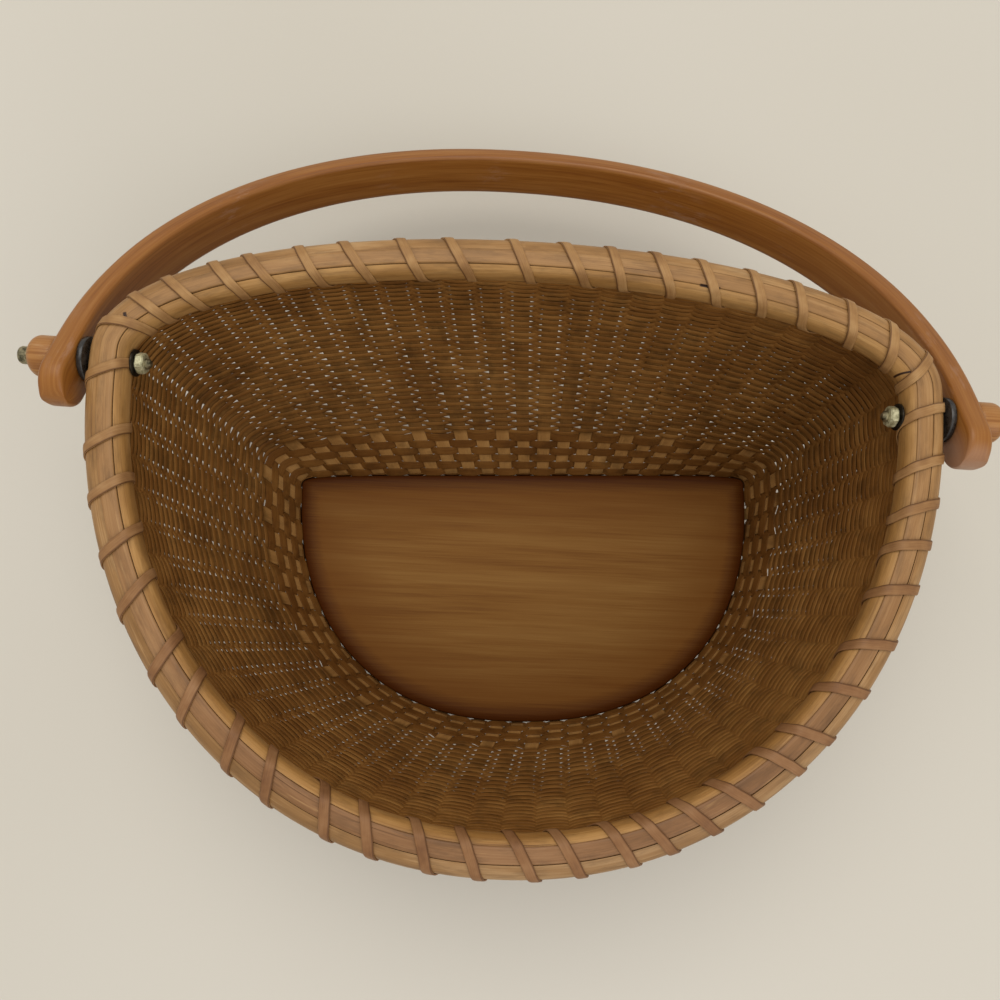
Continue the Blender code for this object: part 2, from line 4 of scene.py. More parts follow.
import bpy
import numpy as np
from mathutils import Euler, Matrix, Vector


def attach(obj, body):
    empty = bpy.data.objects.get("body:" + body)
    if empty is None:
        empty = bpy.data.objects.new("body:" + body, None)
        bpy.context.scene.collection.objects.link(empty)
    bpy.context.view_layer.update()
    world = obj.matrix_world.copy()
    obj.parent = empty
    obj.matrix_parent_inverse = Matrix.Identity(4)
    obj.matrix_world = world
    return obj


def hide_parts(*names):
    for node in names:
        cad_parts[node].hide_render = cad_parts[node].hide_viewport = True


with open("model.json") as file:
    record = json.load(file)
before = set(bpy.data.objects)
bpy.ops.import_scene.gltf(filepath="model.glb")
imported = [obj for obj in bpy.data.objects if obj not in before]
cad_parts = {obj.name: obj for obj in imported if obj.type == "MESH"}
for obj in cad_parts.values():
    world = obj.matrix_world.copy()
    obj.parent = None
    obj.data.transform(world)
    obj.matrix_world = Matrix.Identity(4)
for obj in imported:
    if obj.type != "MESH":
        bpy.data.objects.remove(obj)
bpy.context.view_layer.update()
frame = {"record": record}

# Base plate
base_width = 0.240
base_depth = 0.130
base_thickness = 0.012
base_corner_depth = 0.009
base_edge_bevel = 0.0016
base_front_power = 2.3
base_back_power = 7.0
base_turn = math.radians(2.8)
groove_depth = 0.0042
groove_middle_height = 0.0074
groove_width = 0.0022

# Rim
rim_width = 0.343
rim_front = 0.192
rim_back = 0.0565
rim_widest_line = 0.083
rim_middle = -0.012
rim_front_power = 2.1
rim_back_power = 2.05
basket_height = 0.135
outer_hoop_thickness = 0.0086
inner_hoop_thickness = 0.0055
hoop_height = 0.0130
hoop_round_power = 2.4
cap_width = 0.0060
cap_thickness = 0.0018
cap_rise = 0.0004
cap_wander = 0.00022
cap_wander_place = 0.15
cap_fill_share = 0.6
# Pixels and sizes of painted shade in gaps of the rim: the scarf's seam, a split and a notch
scarf_pixel = (893, 378)
scarf_slant = math.radians(28)
scarf_length = 0.016
scarf_line_width = 0.0011
split_pixel = (708, 281)
split_length = 0.009
split_width = 0.0012
notch_pixel = (114, 306)
notch_slant = math.radians(35)
notch_length = 0.006
notch_width = 0.0018

# Staves and weavers
stave_count = 65
stave_thickness = 0.0012
shown_stave_thickness = 0.0009
stave_tip_width = 0.0040
stave_foot_width = 0.0064
stave_top_width = 0.0083
stave_foot_length = 0.0032
stave_width_spread = 0.05
back_group_reach = 11
side_group_reach = 25
wall_foot_reach = 0.0014
wall_curve_power = 1.6
clearance = 0.0003
wide_weave_bottom = 0.0074
wide_weave_top = 0.031
wide_rows = 7
wide_cane_width = 0.0046
wide_cane_thickness = 0.0005
wide_cane_reach = 0.00072
wide_width_spread = 0.04
row_step_staves = 2
fine_weave_top = 0.1212
fine_first_pitch = 0.0020
fine_last_pitch = 0.00116
fine_first_cane_width = 0.00245
fine_last_cane_width = 0.0018
fine_packing = 0.3
fine_packing_growth = 4
fine_top_packing = 0.45
fine_top_packing_start = 0.6
fine_top_packing_reach = 0.3
fine_width_limit = 1.95
loosest_stave = 10
fine_overlap = 0.0005
fine_cane_thickness = 0.0007
fine_cane_reach = 0.00082
fine_cane_wander = 0.00015
fine_width_spread = 0.07
fine_loose_share = 0.3
shortest_wander = 1.5
longest_wander = 9.0
left_pivot_stave = 13
right_pivot_stave = 51.5

# Lashing
lashing_width = 0.0041
lashing_thickness = 0.0008
lashing_clearance = 0.0002
lashing_advance = 0.75
lashing_advance_shares = (0.75, 1.2)
lashing_under_share = 1.5
lashing_corner_share = 0.6
lashing_rises = (-0.72, 0.0, 0.72)
lashing_key_shares = (0.0, 0.14, 0.25, 0.75, 0.88, 1.0)

# Handle
handle_straight = 0.004
handle_rise = 0.157
handle_power = 2.13
handle_thickness = 0.0095
handle_width = 0.0203
handle_lobe_width = 0.0215
handle_lobe_reach = 0.0225
handle_blend_length = 0.045
handle_edge_round = 0.0022
handle_rest_tilt = math.radians(-28)
rubbed_lobe_reach = 0.178
rubbed_lobe_drop = 0.019
rubbed_lobe_size = 0.018

# Pivot hardware
bolt_diameter = 0.0045
bolt_head_diameter = 0.0072
bolt_head_length = 0.0042
bolt_end_length = 0.0022
spacer_diameter = 0.0186
spacer_thickness = 0.0024
knob_diameter = 0.0170
knob_length = 0.0122
knob_dome_length = 0.0050
knob_neck_diameter = 0.0150
knob_neck_length = 0.0020
knob_end_share = 0.93
inner_washer_diameter = 0.0110
inner_washer_thickness = 0.0009
nut_width = 0.0080
nut_thickness = 0.0034
nut_corner_share = 0.12

# Camera
camera_place = (-0.0231, -0.0216, 0.4410)
camera_turn = (0.1655, -0.0244, 0.0433)
camera_focal_pixels = 807
picture_pixels = 1000
sensor_width = 36

# Light and floor
sky_colour = (1.0, 0.985, 0.96, 1.0)
sky_strength = 0.6
lit_place = (0, 0, 0.05)
key_light = {"place": (-0.2, 0.7, 1.9), "size": 1.4, "power": 17, "colour": (1.0, 0.97, 0.92)}
fill_light = {"place": (0.9, -1.3, 1.5), "size": 1.6, "power": 12, "colour": (1.0, 0.98, 0.96)}
floor_reach = 3.0

# Cells of the finishes' patterns, along and across a strip or along the axes, and reach of the plate's
# painted edge shade and of its band of stain and painted shade
cane_fibre = (0.012, 0.00022)
cane_patch = 0.03
cane_grime = 0.011
lashing_fibre = (0.01, 0.0003)
lashing_patch = 0.012
hoop_fibre = (0.05, 0.0005)
hoop_line = (0.16, 0.0013)
hoop_patch = (0.055, 0.009)
hoop_wear = (0.03, 0.0016)
hoop_speck = (0.004, 0.0016)
hoop_weather = (0.02, 0.004)
handle_grain = (0.035, 0.0009)
handle_band = (0.16, 0.0035)
handle_rub = (0.018, 0.004)
handle_patch = 0.05
base_grain = (0.04, 0.0007, 0.02)
base_band = (0.13, 0.006, 0.02)
base_edge_shade_reach = 0.05
base_stain_and_shade_reach = 0.012
base_stain_and_shade_wander = 0.006
metal_blotch = 0.0022
metal_scratch = (0.0004, 0.003, 0.003)
spacer_dust = 0.003
floor_patch = 0.9
floor_thread = 0.004

# Heights of the finishes' relief
cane_relief = 0.00008
hoop_relief = 0.00012
handle_relief = 0.00006
base_relief = 0.00005
metal_relief = 0.00005
spacer_relief = 0.0001
floor_relief = 0.0002
coat_roughness = 0.3

# Counts of faces and samples
samples_per_stave = 24
outline_steps = 5760
round_steps = 48
fine_steps_per_stave = 6
wide_steps_per_stave = 10
rim_steps_per_stave = 10
base_point_step = 4
stave_steps = 40
hoop_face_steps = 22
handle_lobe_steps = 12
handle_bow_steps = 96
handle_corner_steps = 5
knob_dome_steps = 9
lashing_steps_per_side = 3
strip_steps = 12
fine_cane_steps = 8
cap_steps = 16

# Roundness of the strips' corners, from 0 for square ones to 1 for an oval
wide_cane_corner = 0.3
stave_corner = 0.35
cap_corner = 0.45
fine_cane_corner = 0.5
lashing_corner = 0.55

# Angles above which an edge stays sharp
sharp_angle = math.radians(35)
rim_sharp_angle = math.radians(50)
nut_sharp_angle = math.radians(25)

# Start of the random draws
seed = 7

# Places worked out from the values above
hoop_top = basket_height - cap_rise
hoop_middle = hoop_top - hoop_height / 2
hoop_bottom = hoop_top - hoop_height
cap_seat = basket_height - cap_thickness - clearance
weave_top = hoop_bottom - 2 * lashing_thickness
slot_half = stave_thickness / 2 + clearance
outer_reach = slot_half + outer_hoop_thickness
inner_reach = slot_half + inner_hoop_thickness
foot_height = groove_middle_height
pivot_place = Vector(frame["record"]["behaviour"]["joints"][0]["pos_m"])
pivot_axis = Vector(frame["record"]["behaviour"]["joints"][0]["axis"])


# Lines and surfaces

def unit(vectors):
    return vectors / np.linalg.norm(vectors, axis=-1, keepdims=True)


def evenly(points, count):
    """Closed line through evenly spaced points of another one."""
    steps = np.linalg.norm(np.diff(points, axis=0), axis=1)
    walked = np.concatenate([[0.0], np.cumsum(steps)])
    wanted = walked[-1] * np.arange(count) / count
    return np.stack([np.interp(wanted, walked, points[:, axis]) for axis in range(2)], 1)


def outline(half_width, front, back, front_power, back_power):
    """D-shaped line that starts at the middle of its back and goes to the left."""
    angles = math.pi / 2 + 2 * math.pi * np.arange(outline_steps + 1) / outline_steps
    across = np.cos(angles)
    along = np.sin(angles)
    depth = np.where(along >= 0, back, front)
    power = np.where(along >= 0, back_power, front_power)
    x = half_width * np.sign(across) * np.abs(across) ** (2 / power)
    y = depth * np.sign(along) * np.abs(along) ** (2 / power)
    return evenly(np.stack([x, y], 1), stave_count * samples_per_stave)


def line_normals(line):
    ahead = np.roll(line, -1, 0) - np.roll(line, 1, 0)
    return unit(np.stack([ahead[:, 1], -ahead[:, 0]], 1))


def base_line():
    """Edge of the base plate, turned a little against the rim."""
    line = outline(base_width / 2, base_depth - base_corner_depth, base_corner_depth,
                   base_front_power, base_back_power)
    line[:, 1] += base_depth / 2 - base_corner_depth
    cos, sin = math.cos(base_turn), math.sin(base_turn)
    return np.stack([line[:, 0] * cos - line[:, 1] * sin, line[:, 0] * sin + line[:, 1] * cos], 1)


def rim_line():
    """Middle line of the rim, between its two hoops."""
    line = outline(rim_width / 2 - outer_reach, rim_front - outer_reach, rim_back - outer_reach,
                   rim_front_power, rim_back_power)
    return line + np.array([rim_middle, rim_widest_line])


BASE_LINE = base_line()
FOOT_LINE = BASE_LINE + line_normals(BASE_LINE) * wall_foot_reach
RIM_LINE = rim_line()
RIM_NORMALS = line_normals(RIM_LINE)


def at(line, stave):
    """Values of a line at places that count staves from the middle of the back to the left."""
    spot = np.mod(np.asarray(stave, float) * samples_per_stave, len(line))
    low = np.floor(spot).astype(int) % len(line)
    share = (spot - np.floor(spot))[..., None]
    return line[low] * (1 - share) + line[(low + 1) % len(line)] * share


def rim_place(stave, distance):
    """Point of the rim at a distance outward of its middle line."""
    return at(RIM_LINE, stave) + at(RIM_NORMALS, stave) * np.asarray(distance)[..., None]


def wall(stave, height):
    """Points of the wall's middle surface: it stands beside the base, then opens out to the rim."""
    share = np.clip((height - base_thickness) / (weave_top - base_thickness), 0, 1)
    spread = (1 - (1 - share) ** wall_curve_power)[..., None]
    foot = at(FOOT_LINE, stave)
    flat = foot + (at(RIM_LINE, stave) - foot) * spread
    return np.concatenate([flat, np.asarray(height, float)[..., None]], -1)


def wall_frame(stave, height):
    """Points of the wall with its directions along a row and outward."""
    near = 1 / samples_per_stave
    rise = clearance
    along = unit(wall(stave + near, height) - wall(stave - near, height))
    up = wall(stave, height + rise) - wall(stave, height - rise)
    return wall(stave, height), along, unit(np.cross(along, up))


# Meshes

def skin(name, rings, closed=False):
    """Smooth mesh over rings of points, with a UV map in metres along and round it."""
    count, sides = rings.shape[:2]
    index = np.arange(count * sides).reshape(count, sides)
    here = index if closed else index[:-1]
    there = np.roll(index, -1, 0) if closed else index[1:]
    faces = np.stack([here, np.roll(here, -1, 1), np.roll(there, -1, 1), there], -1).reshape(-1, 4)
    centres = rings.mean(1)
    steps = np.linalg.norm(np.roll(centres, -1, 0) - centres, axis=1)
    along = np.concatenate([[0.0], np.cumsum(steps)])
    widest = rings[np.argmax(np.ptp(rings, axis=1).sum(-1))]
    around = np.concatenate([[0.0], np.cumsum(np.linalg.norm(np.roll(widest, -1, 0) - widest, axis=1))])
    rows, columns = np.meshgrid(np.arange(len(here)), np.arange(sides), indexing="ij")
    corners = [(0, 0), (0, 1), (1, 1), (1, 0)]
    uv = np.stack([np.stack([along[rows + row], around[columns + column]], -1)
                   for row, column in corners], 2).reshape(-1, 4, 2)
    points = rings.reshape(-1, 3)
    a, b, c, d = (points[faces[:, corner]] for corner in range(4))
    volume = (a * np.cross(b, c)).sum() + (a * np.cross(c, d)).sum()
    if volume < 0:
        faces = faces[:, ::-1]
        uv = uv[:, ::-1]
    face_list = faces.tolist()
    uv_list = [uv.reshape(-1, 2)]
    if not closed:
        ends = [index[0][::-1], index[-1]]
        if volume < 0:
            ends = [end[::-1] for end in ends]
        face_list += [end.tolist() for end in ends]
        uv_list.append(np.repeat([[0.0, 0.0], [along[-2], 0.0]], sides, axis=0))
    mesh = bpy.data.meshes.new(name)
    mesh.from_pydata(points.tolist(), [], face_list)
    mesh.uv_layers.new(name="metres").uv.foreach_set("vector", np.concatenate(uv_list).ravel())
    mesh.shade_smooth()
    return mesh


def rounded_section(steps, roundness):
    """Points round a flat oval with half sides of 1."""
    angles = 2 * math.pi * (np.arange(steps) + 0.5) / steps
    cos, sin = np.cos(angles), np.sin(angles)
    return np.stack([np.sign(cos) * np.abs(cos) ** roundness, np.sign(sin) * np.abs(sin) ** roundness], 1)


def band(name, centres, across, out, section, closed=False):
    """Strip along a path: the section's points are in metres across it and outward."""
    rings = (centres[:, None] + across[:, None] * section[..., :1] + out[:, None] * section[..., 1:])
    return skin(name, rings, closed)


def dress(name, mesh, finish, slot, nodes, body="basket"):
    """Show a mesh with its finish in place of CAD nodes, on the body that carries them."""
    piece = bpy.data.objects.new(name, mesh)
    bpy.context.scene.collection.objects.link(piece)
    mesh.materials.append(finish)
    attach(piece, body)
    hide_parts(*nodes)
    return piece


# Materials

def srgb(red, green, blue):
    """Linear colour from its 8-bit values."""
    shares = [value / 255 for value in (red, green, blue)]
    linear = [share / 12.92 if share <= 0.04045 else ((share + 0.055) / 1.055) ** 2.4 for share in shares]
    return (*linear, 1.0)


def node(tree, kind, inputs=(), **settings):
    """Node with its inputs set to values or linked to sockets."""
    made = tree.nodes.new(kind)
    for name, value in settings.items():
        setattr(made, name, value)
    for name, value in inputs:
        if isinstance(value, bpy.types.NodeSocket):
            tree.links.new(value, made.inputs[name])
        else:
            made.inputs[name].default_value = value
    return made


def cells(tree, place, x, y, z):
    return node(tree, "ShaderNodeMapping",
                (("Vector", place), ("Scale", (1 / x, 1 / y, 1 / z)))).outputs["Vector"]


def strip_place(tree):
    """Place along and across a strip, in metres, from its UV map."""
    return node(tree, "ShaderNodeUVMap", uv_map="metres").outputs["UV"]


def metres(tree, along, across):
    """A strip's UV map in cells of these sizes."""
    return cells(tree, strip_place(tree), along, across, 1)


def own_place(tree):
    """Place in the object's own space."""
    return node(tree, "ShaderNodeTexCoord").outputs["Object"]


def space(tree, *sizes):
    """The object's own space in cells of one size, or of a size for each axis."""
    return cells(tree, own_place(tree), *(sizes if len(sizes) > 1 else sizes * 3))


def coordinate(tree, place, axis):
    return node(tree, "ShaderNodeSeparateXYZ", (("Vector", place),)).outputs[axis]


def vector_maths(tree, operation, output, *values):
    return node(tree, "ShaderNodeVectorMath", enumerate(values), operation=operation).outputs[output]


def noise(tree, vector, detail=3.0, roughness=0.55, distortion=0.0):
    return node(tree, "ShaderNodeTexNoise",
                (("Vector", vector), ("Scale", 1.0), ("Detail", detail), ("Roughness", roughness),
                 ("Distortion", distortion))).outputs["Fac"]


def ramp(tree, factor, stops):
    """Colours or grey levels over a factor: stops are (position, colour)."""
    made = node(tree, "ShaderNodeValToRGB", (("Fac", factor),))
    elements = made.color_ramp.elements
    while len(elements) < len(stops):
        elements.new(0.5)
    for element, (position, colour) in zip(elements, stops):
        element.position = position
        element.color = colour if isinstance(colour, tuple) else (colour, colour, colour, 1.0)
    return made.outputs["Color"]


def mix(tree, factor, first, second, blend="MIX"):
    return node(tree, "ShaderNodeMix", ((0, factor), (6, first), (7, second)),
                data_type="RGBA", blend_type=blend).outputs[2]


def maths(tree, operation, first, second=0.5):
    return node(tree, "ShaderNodeMath", ((0, first), (1, second)), operation=operation).outputs[0]


def bump(tree, height, distance, strength):
    return node(tree, "ShaderNodeBump",
                (("Height", height), ("Distance", distance), ("Strength", strength))).outputs["Normal"]


def surface(name, colour_of, roughness=(0.4, 0.6), metallic=0.0, specular=0.5, coat=0.0):
    """Principled material. colour_of makes its colour, roughness factor and normal in the tree."""
    made = bpy.data.materials.new(name)
    made.use_nodes = True
    tree = made.node_tree
    shader = tree.nodes["Principled BSDF"]
    colour, factor, normal = colour_of(tree)
    tree.links.new(colour, shader.inputs["Base Color"])
    low, high = roughness
    tree.links.new(ramp(tree, factor, [(0.25, low), (0.75, high)]), shader.inputs["Roughness"])
    tree.links.new(normal, shader.inputs["Normal"])
    shader.inputs["Metallic"].default_value = metallic
    shader.inputs["Specular IOR Level"].default_value = specular
    shader.inputs["Coat Weight"].default_value = coat
    shader.inputs["Coat Roughness"].default_value = coat_roughness
    return made


def height_share(tree, low, high):
    """Share that grows from 0 at one height to 1 at another."""
    height = coordinate(tree, own_place(tree), "Z")
    return maths(tree, "DIVIDE", maths(tree, "SUBTRACT", height, low), high - low)


def toward_front(tree):
    """Share that grows from 0 at the rim's back to 1 at its front."""
    away = maths(tree, "SUBTRACT", rim_widest_line + rim_back, coordinate(tree, own_place(tree), "Y"))
    return maths(tree, "DIVIDE", away, rim_front + rim_back)


def duller_front(tree, colour, front, start, end):
    """Colour multiplied by another one over these shares of the way to the rim's front."""
    share = ramp(tree, toward_front(tree), [(start, 0.0), (end, 1.0)])
    return mix(tree, share, colour, front, "MULTIPLY")


def cane_finish(name, dark, middle, light, above=(1.0, 1.0, 1.0, 1.0), low_shade=1.0):
    """Aged cane: fibres over slow changes of tone, painted shade above the wide weave, and painted shade low
    on the wall that fades out towards the rim.
    """
    def colour_of(tree):
        fibres = noise(tree, metres(tree, *cane_fibre), 4.0, 0.6)
        slow = noise(tree, metres(tree, cane_patch, cane_patch / 3), 2.0)
        broad = noise(tree, space(tree, cane_patch), 3.0)
        tone = mix(tree, 0.5, slow, broad)
        blend = mix(tree, 0.45, tone, fibres)
        colour = ramp(tree, blend, [(0.34, dark), (0.5, middle), (0.66, light)])
        grime = ramp(tree, noise(tree, space(tree, cane_grime), 4.0, 0.7), [(0.36, 0.55), (0.5, 1.0)])
        colour = mix(tree, 0.6, colour, grime, "MULTIPLY")
        # Painted shade: above the wide weave the colour is multiplied by the darker colour given as above,
        # for staves that lie in shade behind the packed rows
        shaded = ramp(tree, height_share(tree, wide_weave_top, wide_weave_top + fine_first_pitch),
                      [(0.0, 0.0), (1.0, 1.0)])
        colour = mix(tree, shaded, colour, above, "MULTIPLY")
        # Painted shade: darker low on the wall, fading out towards the rim
        higher = height_share(tree, wide_weave_top, fine_weave_top)
        colour = mix(tree, 1.0, colour, ramp(tree, higher, [(0.2, low_shade), (1.0, 1.0)]), "MULTIPLY")
        return colour, fibres, bump(tree, fibres, cane_relief, 0.6)
    return surface(name, colour_of, (0.5, 0.75), specular=0.12)


def lashing_finish(name, dark, middle, light, edge_shade_colour, front):
    """Thin strip: fibres along it, a painted shade line at each edge, duller at the rim's front."""
    def colour_of(tree):
        fibres = noise(tree, metres(tree, *lashing_fibre), 4.0, 0.6)
        slow = noise(tree, space(tree, lashing_patch), 3.0, 0.6)
        colour = ramp(tree, mix(tree, 0.4, slow, fibres), [(0.34, dark), (0.5, middle), (0.66, light)])
        colour = duller_front(tree, colour, front, 0.2, 0.7)
        # Painted shade: a dark line along each edge of the strip
        across = coordinate(tree, strip_place(tree), "Y")
        share = maths(tree, "DIVIDE", across, lashing_width + lashing_thickness)
        edge = ramp(tree, maths(tree, "PINGPONG", share, 0.5), [(0.06, 1.0), (0.14, 0.0)])
        colour = mix(tree, maths(tree, "MULTIPLY", edge, 0.8), colour, edge_shade_colour)
        return colour, fibres, bump(tree, fibres, cane_relief, 0.6)
    return surface(name, colour_of, (0.45, 0.65), specular=0.25)


def rim_gap_shade(tree, pixel, distance, slant, length, width):
    """Share of painted shade along a short dark gap on the rim: a slant of 0 runs across it, a quarter turn
    along it.
    """
    stave = place_of_pixel(pixel)
    spot = (*rim_place(stave, distance), hoop_top)
    ahead = unit(at(RIM_LINE, stave + 1) - at(RIM_LINE, stave - 1))
    facing = (*(ahead * math.cos(slant) + at(RIM_NORMALS, stave) * math.sin(slant)), 0.0)
    offset = vector_maths(tree, "SUBTRACT", "Vector", own_place(tree), spot)
    away = maths(tree, "ABSOLUTE", vector_maths(tree, "DOT_PRODUCT", "Value", offset, facing))
    far = vector_maths(tree, "LENGTH", "Value", offset)
    line = ramp(tree, maths(tree, "DIVIDE", away, width / 2), [(0.5, 1.0), (1.0, 0.0)])
    near = ramp(tree, maths(tree, "DIVIDE", far, length / 2), [(0.85, 1.0), (1.0, 0.0)])
    return maths(tree, "MULTIPLY", line, near)


def split_cane_finish(name, dark, middle, light, streak, front, marks=()):
    """Half-round rattan: long fine lines, slow changes of tone, a few dark splits, duller at the front."""
    # Painted shade in the rim's gaps
    gap_shade_colour = srgb(48, 26, 12)

    def colour_of(tree):
        fibres = noise(tree, metres(tree, *hoop_fibre), 5.0, 0.65)
        lines = noise(tree, metres(tree, *hoop_line), 3.0, 0.6)
        slow = noise(tree, metres(tree, *hoop_patch), 3.0, 0.6, 0.6)
        blend = mix(tree, 0.4, slow, fibres)
        colour = ramp(tree, blend, [(0.32, dark), (0.5, middle), (0.68, light)])
        colour = duller_front(tree, colour, front, 0.3, 0.85)
        splits = ramp(tree, lines, [(0.29, 1.0), (0.34, 0.0)])
        colour = mix(tree, splits, colour, streak)
        worn = noise(tree, metres(tree, *hoop_wear), 4.0, 0.65)
        colour = mix(tree, ramp(tree, worn, [(0.60, 0.0), (0.72, 0.6)]), colour, light)
        specks = noise(tree, metres(tree, *hoop_speck), 3.0, 0.7)
        colour = mix(tree, ramp(tree, specks, [(0.70, 0.0), (0.76, 1.0)]), colour, dark)
        weathered = noise(tree, metres(tree, *hoop_weather), 5.0, 0.7)
        colour = mix(tree, 0.6, colour, ramp(tree, weathered, [(0.38, 0.62), (0.52, 1.0)]), "MULTIPLY")
        # Painted shade in the gaps given in marks
        for mark in marks:
            colour = mix(tree, rim_gap_shade(tree, *mark), colour, gap_shade_colour)
        height = maths(tree, "SUBTRACT", fibres, splits)
        return colour, slow, bump(tree, height, hoop_relief, 0.6)
    return surface(name, colour_of, (0.42, 0.6), specular=0.3, coat=0.04)


def handle_finish(name, dark, middle, light, worn, lobe_wear):
    """Varnished bent wood: fine grain along the bow, rubbed pale in patches and on its right lobe."""
    def colour_of(tree):
        grain = noise(tree, metres(tree, *handle_grain), 5.0, 0.6)
        bands = noise(tree, metres(tree, *handle_band), 3.0, 0.55, 0.4)
        blend = mix(tree, 0.5, bands, grain)
        colour = ramp(tree, blend, [(0.34, dark), (0.5, middle), (0.66, light)])
        rubbed = noise(tree, metres(tree, *handle_rub), 5.0, 0.75)
        patches = noise(tree, space(tree, handle_patch), 2.0)
        amount = maths(tree, "MULTIPLY", ramp(tree, rubbed, [(0.52, 0.0), (0.64, 1.0)]),
                       ramp(tree, patches, [(0.50, 0.0), (0.62, 0.35)]))
        lobe = tuple(pivot_place + pivot_axis * rubbed_lobe_reach - Vector((0, rubbed_lobe_drop, 0)))
        away = vector_maths(tree, "DISTANCE", "Value", own_place(tree), lobe)
        near_lobe = ramp(tree, maths(tree, "DIVIDE", away, rubbed_lobe_size), [(0.5, lobe_wear), (1.0, 0.0)])
        colour = mix(tree, maths(tree, "MAXIMUM", amount, near_lobe), colour, worn)
        return colour, rubbed, bump(tree, grain, handle_relief, 0.5)
    return surface(name, colour_of, (0.34, 0.5), specular=0.3, coat=0.1)


def base_finish():
    """Honey-brown plate: grain along X, with painted shade in a darker orange towards its edge, and a dark
    band round its edge that is partly a stain and partly painted shade beside the wall, so its middle is
    paler.
    """
    dark = srgb(108, 66, 22)
    middle = srgb(130, 88, 38)
    light = srgb(144, 104, 52)
    # The dark band colour is partly a stain and partly painted shade; the orange is painted shade towards the
    # edge
    stain_and_shade = srgb(64, 26, 2)
    edge_shade_orange = srgb(104, 58, 6)

    def colour_of(tree):
        grain = noise(tree, space(tree, *base_grain), 5.0, 0.62)
        bands = noise(tree, space(tree, *base_band), 3.0, 0.55, 0.3)
        edge = node(tree, "ShaderNodeAttribute", attribute_name="edge").outputs["Fac"]
        blend = mix(tree, 0.45, bands, grain)
        colour = ramp(tree, blend, [(0.30, dark), (0.48, middle), (0.68, light)])
        # Painted shade: darker orange towards the plate's edge
        near_edge_shade = ramp(tree, maths(tree, "DIVIDE", edge, base_edge_shade_reach), [(0.05, 1.0), (0.8, 0.0)])
        colour = mix(tree, maths(tree, "MULTIPLY", near_edge_shade, 0.75), colour, edge_shade_orange)
        # Dark band round the edge: partly a stain, partly painted shade beside the wall
        unsteady = maths(tree, "MULTIPLY", maths(tree, "SUBTRACT", grain, 0.5), base_stain_and_shade_wander)
        ragged = maths(tree, "DIVIDE", maths(tree, "ADD", edge, unsteady), base_stain_and_shade_reach)
        band_share = ramp(tree, ragged, [(0.15, 1.0), (0.85, 0.0)])
        colour = mix(tree, maths(tree, "MULTIPLY", band_share, 0.9), colour, stain_and_shade)
        return colour, grain, bump(tree, grain, base_relief, 0.5)
    return surface("base_wood_finish", colour_of, (0.42, 0.56), specular=0.08)


def metal_finish(name, clean, tarnish, roughness, metallic=0.85):
    """Tarnished metal with dull blotches and fine scratches."""
    def colour_of(tree):
        blotch = noise(tree, space(tree, metal_blotch), 4.0, 0.65)
        colour = ramp(tree, blotch, [(0.38, tarnish), (0.6, clean)])
        scratch = noise(tree, space(tree, *metal_scratch), 3.0)
        return colour, blotch, bump(tree, scratch, metal_relief, 0.5)
    return surface(name, colour_of, roughness, metallic=metallic)


def spacer_finish():
    """Black spacer with a dusty, slightly rubbed face."""
    def colour_of(tree):
        dust = noise(tree, space(tree, spacer_dust), 5.0, 0.7)
        colour = ramp(tree, dust, [(0.4, srgb(22, 20, 19)), (0.7, srgb(62, 58, 54))])
        return colour, dust, bump(tree, dust, spacer_relief, 0.4)
    return surface("spacer_finish", colour_of, (0.2, 0.4))


def floor_finish():
    """Pale plain cloth."""
    def colour_of(tree):
        cloth = noise(tree, space(tree, floor_patch), 2.0)
        colour = ramp(tree, cloth, [(0.3, srgb(203, 197, 184)), (0.7, srgb(214, 209, 198))])
        thread = noise(tree, space(tree, floor_thread), 3.0)
        return colour, thread, bump(tree, thread, floor_relief, 0.15)
    return surface("floor_finish", colour_of, (0.7, 0.9), specular=0.2)


# Pieces

def build_base(finish):
    """D-shaped plate with a groove round its edge for the staves' feet."""
    half = groove_width / 2
    profile = [
        (-base_edge_bevel, 0.0), (-base_edge_bevel / 3, base_edge_bevel / 3), (0.0, base_edge_bevel),
        (0.0, groove_middle_height - half), (-groove_depth, groove_middle_height - half),
        (-groove_depth, groove_middle_height + half), (0.0, groove_middle_height + half),
        (0.0, base_thickness - base_edge_bevel), (-base_edge_bevel / 3, base_thickness - base_edge_bevel / 3),
        (-base_edge_bevel, base_thickness),
    ]
    flat_shares = (0.96, 0.92, 0.87, 0.8, 0.7, 0.55, 0.4, 0.2, 0.05)
    normals = line_normals(BASE_LINE)
    centre = BASE_LINE.mean(0)
    rings = []
    for distance, height in profile:
        rings.append((BASE_LINE + normals * distance, height))
    top = rings[-1][0]
    bottom = rings[0][0]
    rings = [(centre + (bottom - centre) * share, 0.0) for share in reversed(flat_shares)] + rings
    rings += [(centre + (top - centre) * share, base_thickness) for share in flat_shares]
    stack = np.array([np.column_stack([flat, np.full(len(flat), height)]) for flat, height in rings])
    stack = stack[:, ::base_point_step]
    mesh = skin("base_plate_wood", stack)
    flat = stack.reshape(-1, 3)[:, :2]
    edge = np.array([np.linalg.norm(BASE_LINE - spot, axis=1).min() for spot in flat])
    mesh.attributes.new("edge", "FLOAT", "POINT").data.foreach_set("value", edge)
    mesh.set_sharp_from_angle(angle=sharp_angle)
    dress("base_plate_wood", mesh, finish, "base_wood", ["base_plate"])


def stave_group(number):
    """CAD node that a stave belongs to."""
    turn = (number + stave_count // 2) % stave_count - stave_count // 2
    if abs(turn) <= back_group_reach:
        return "staves_back"
    if abs(turn) > side_group_reach:
        return "staves_front"
    return "staves_left" if turn > 0 else "staves_right"


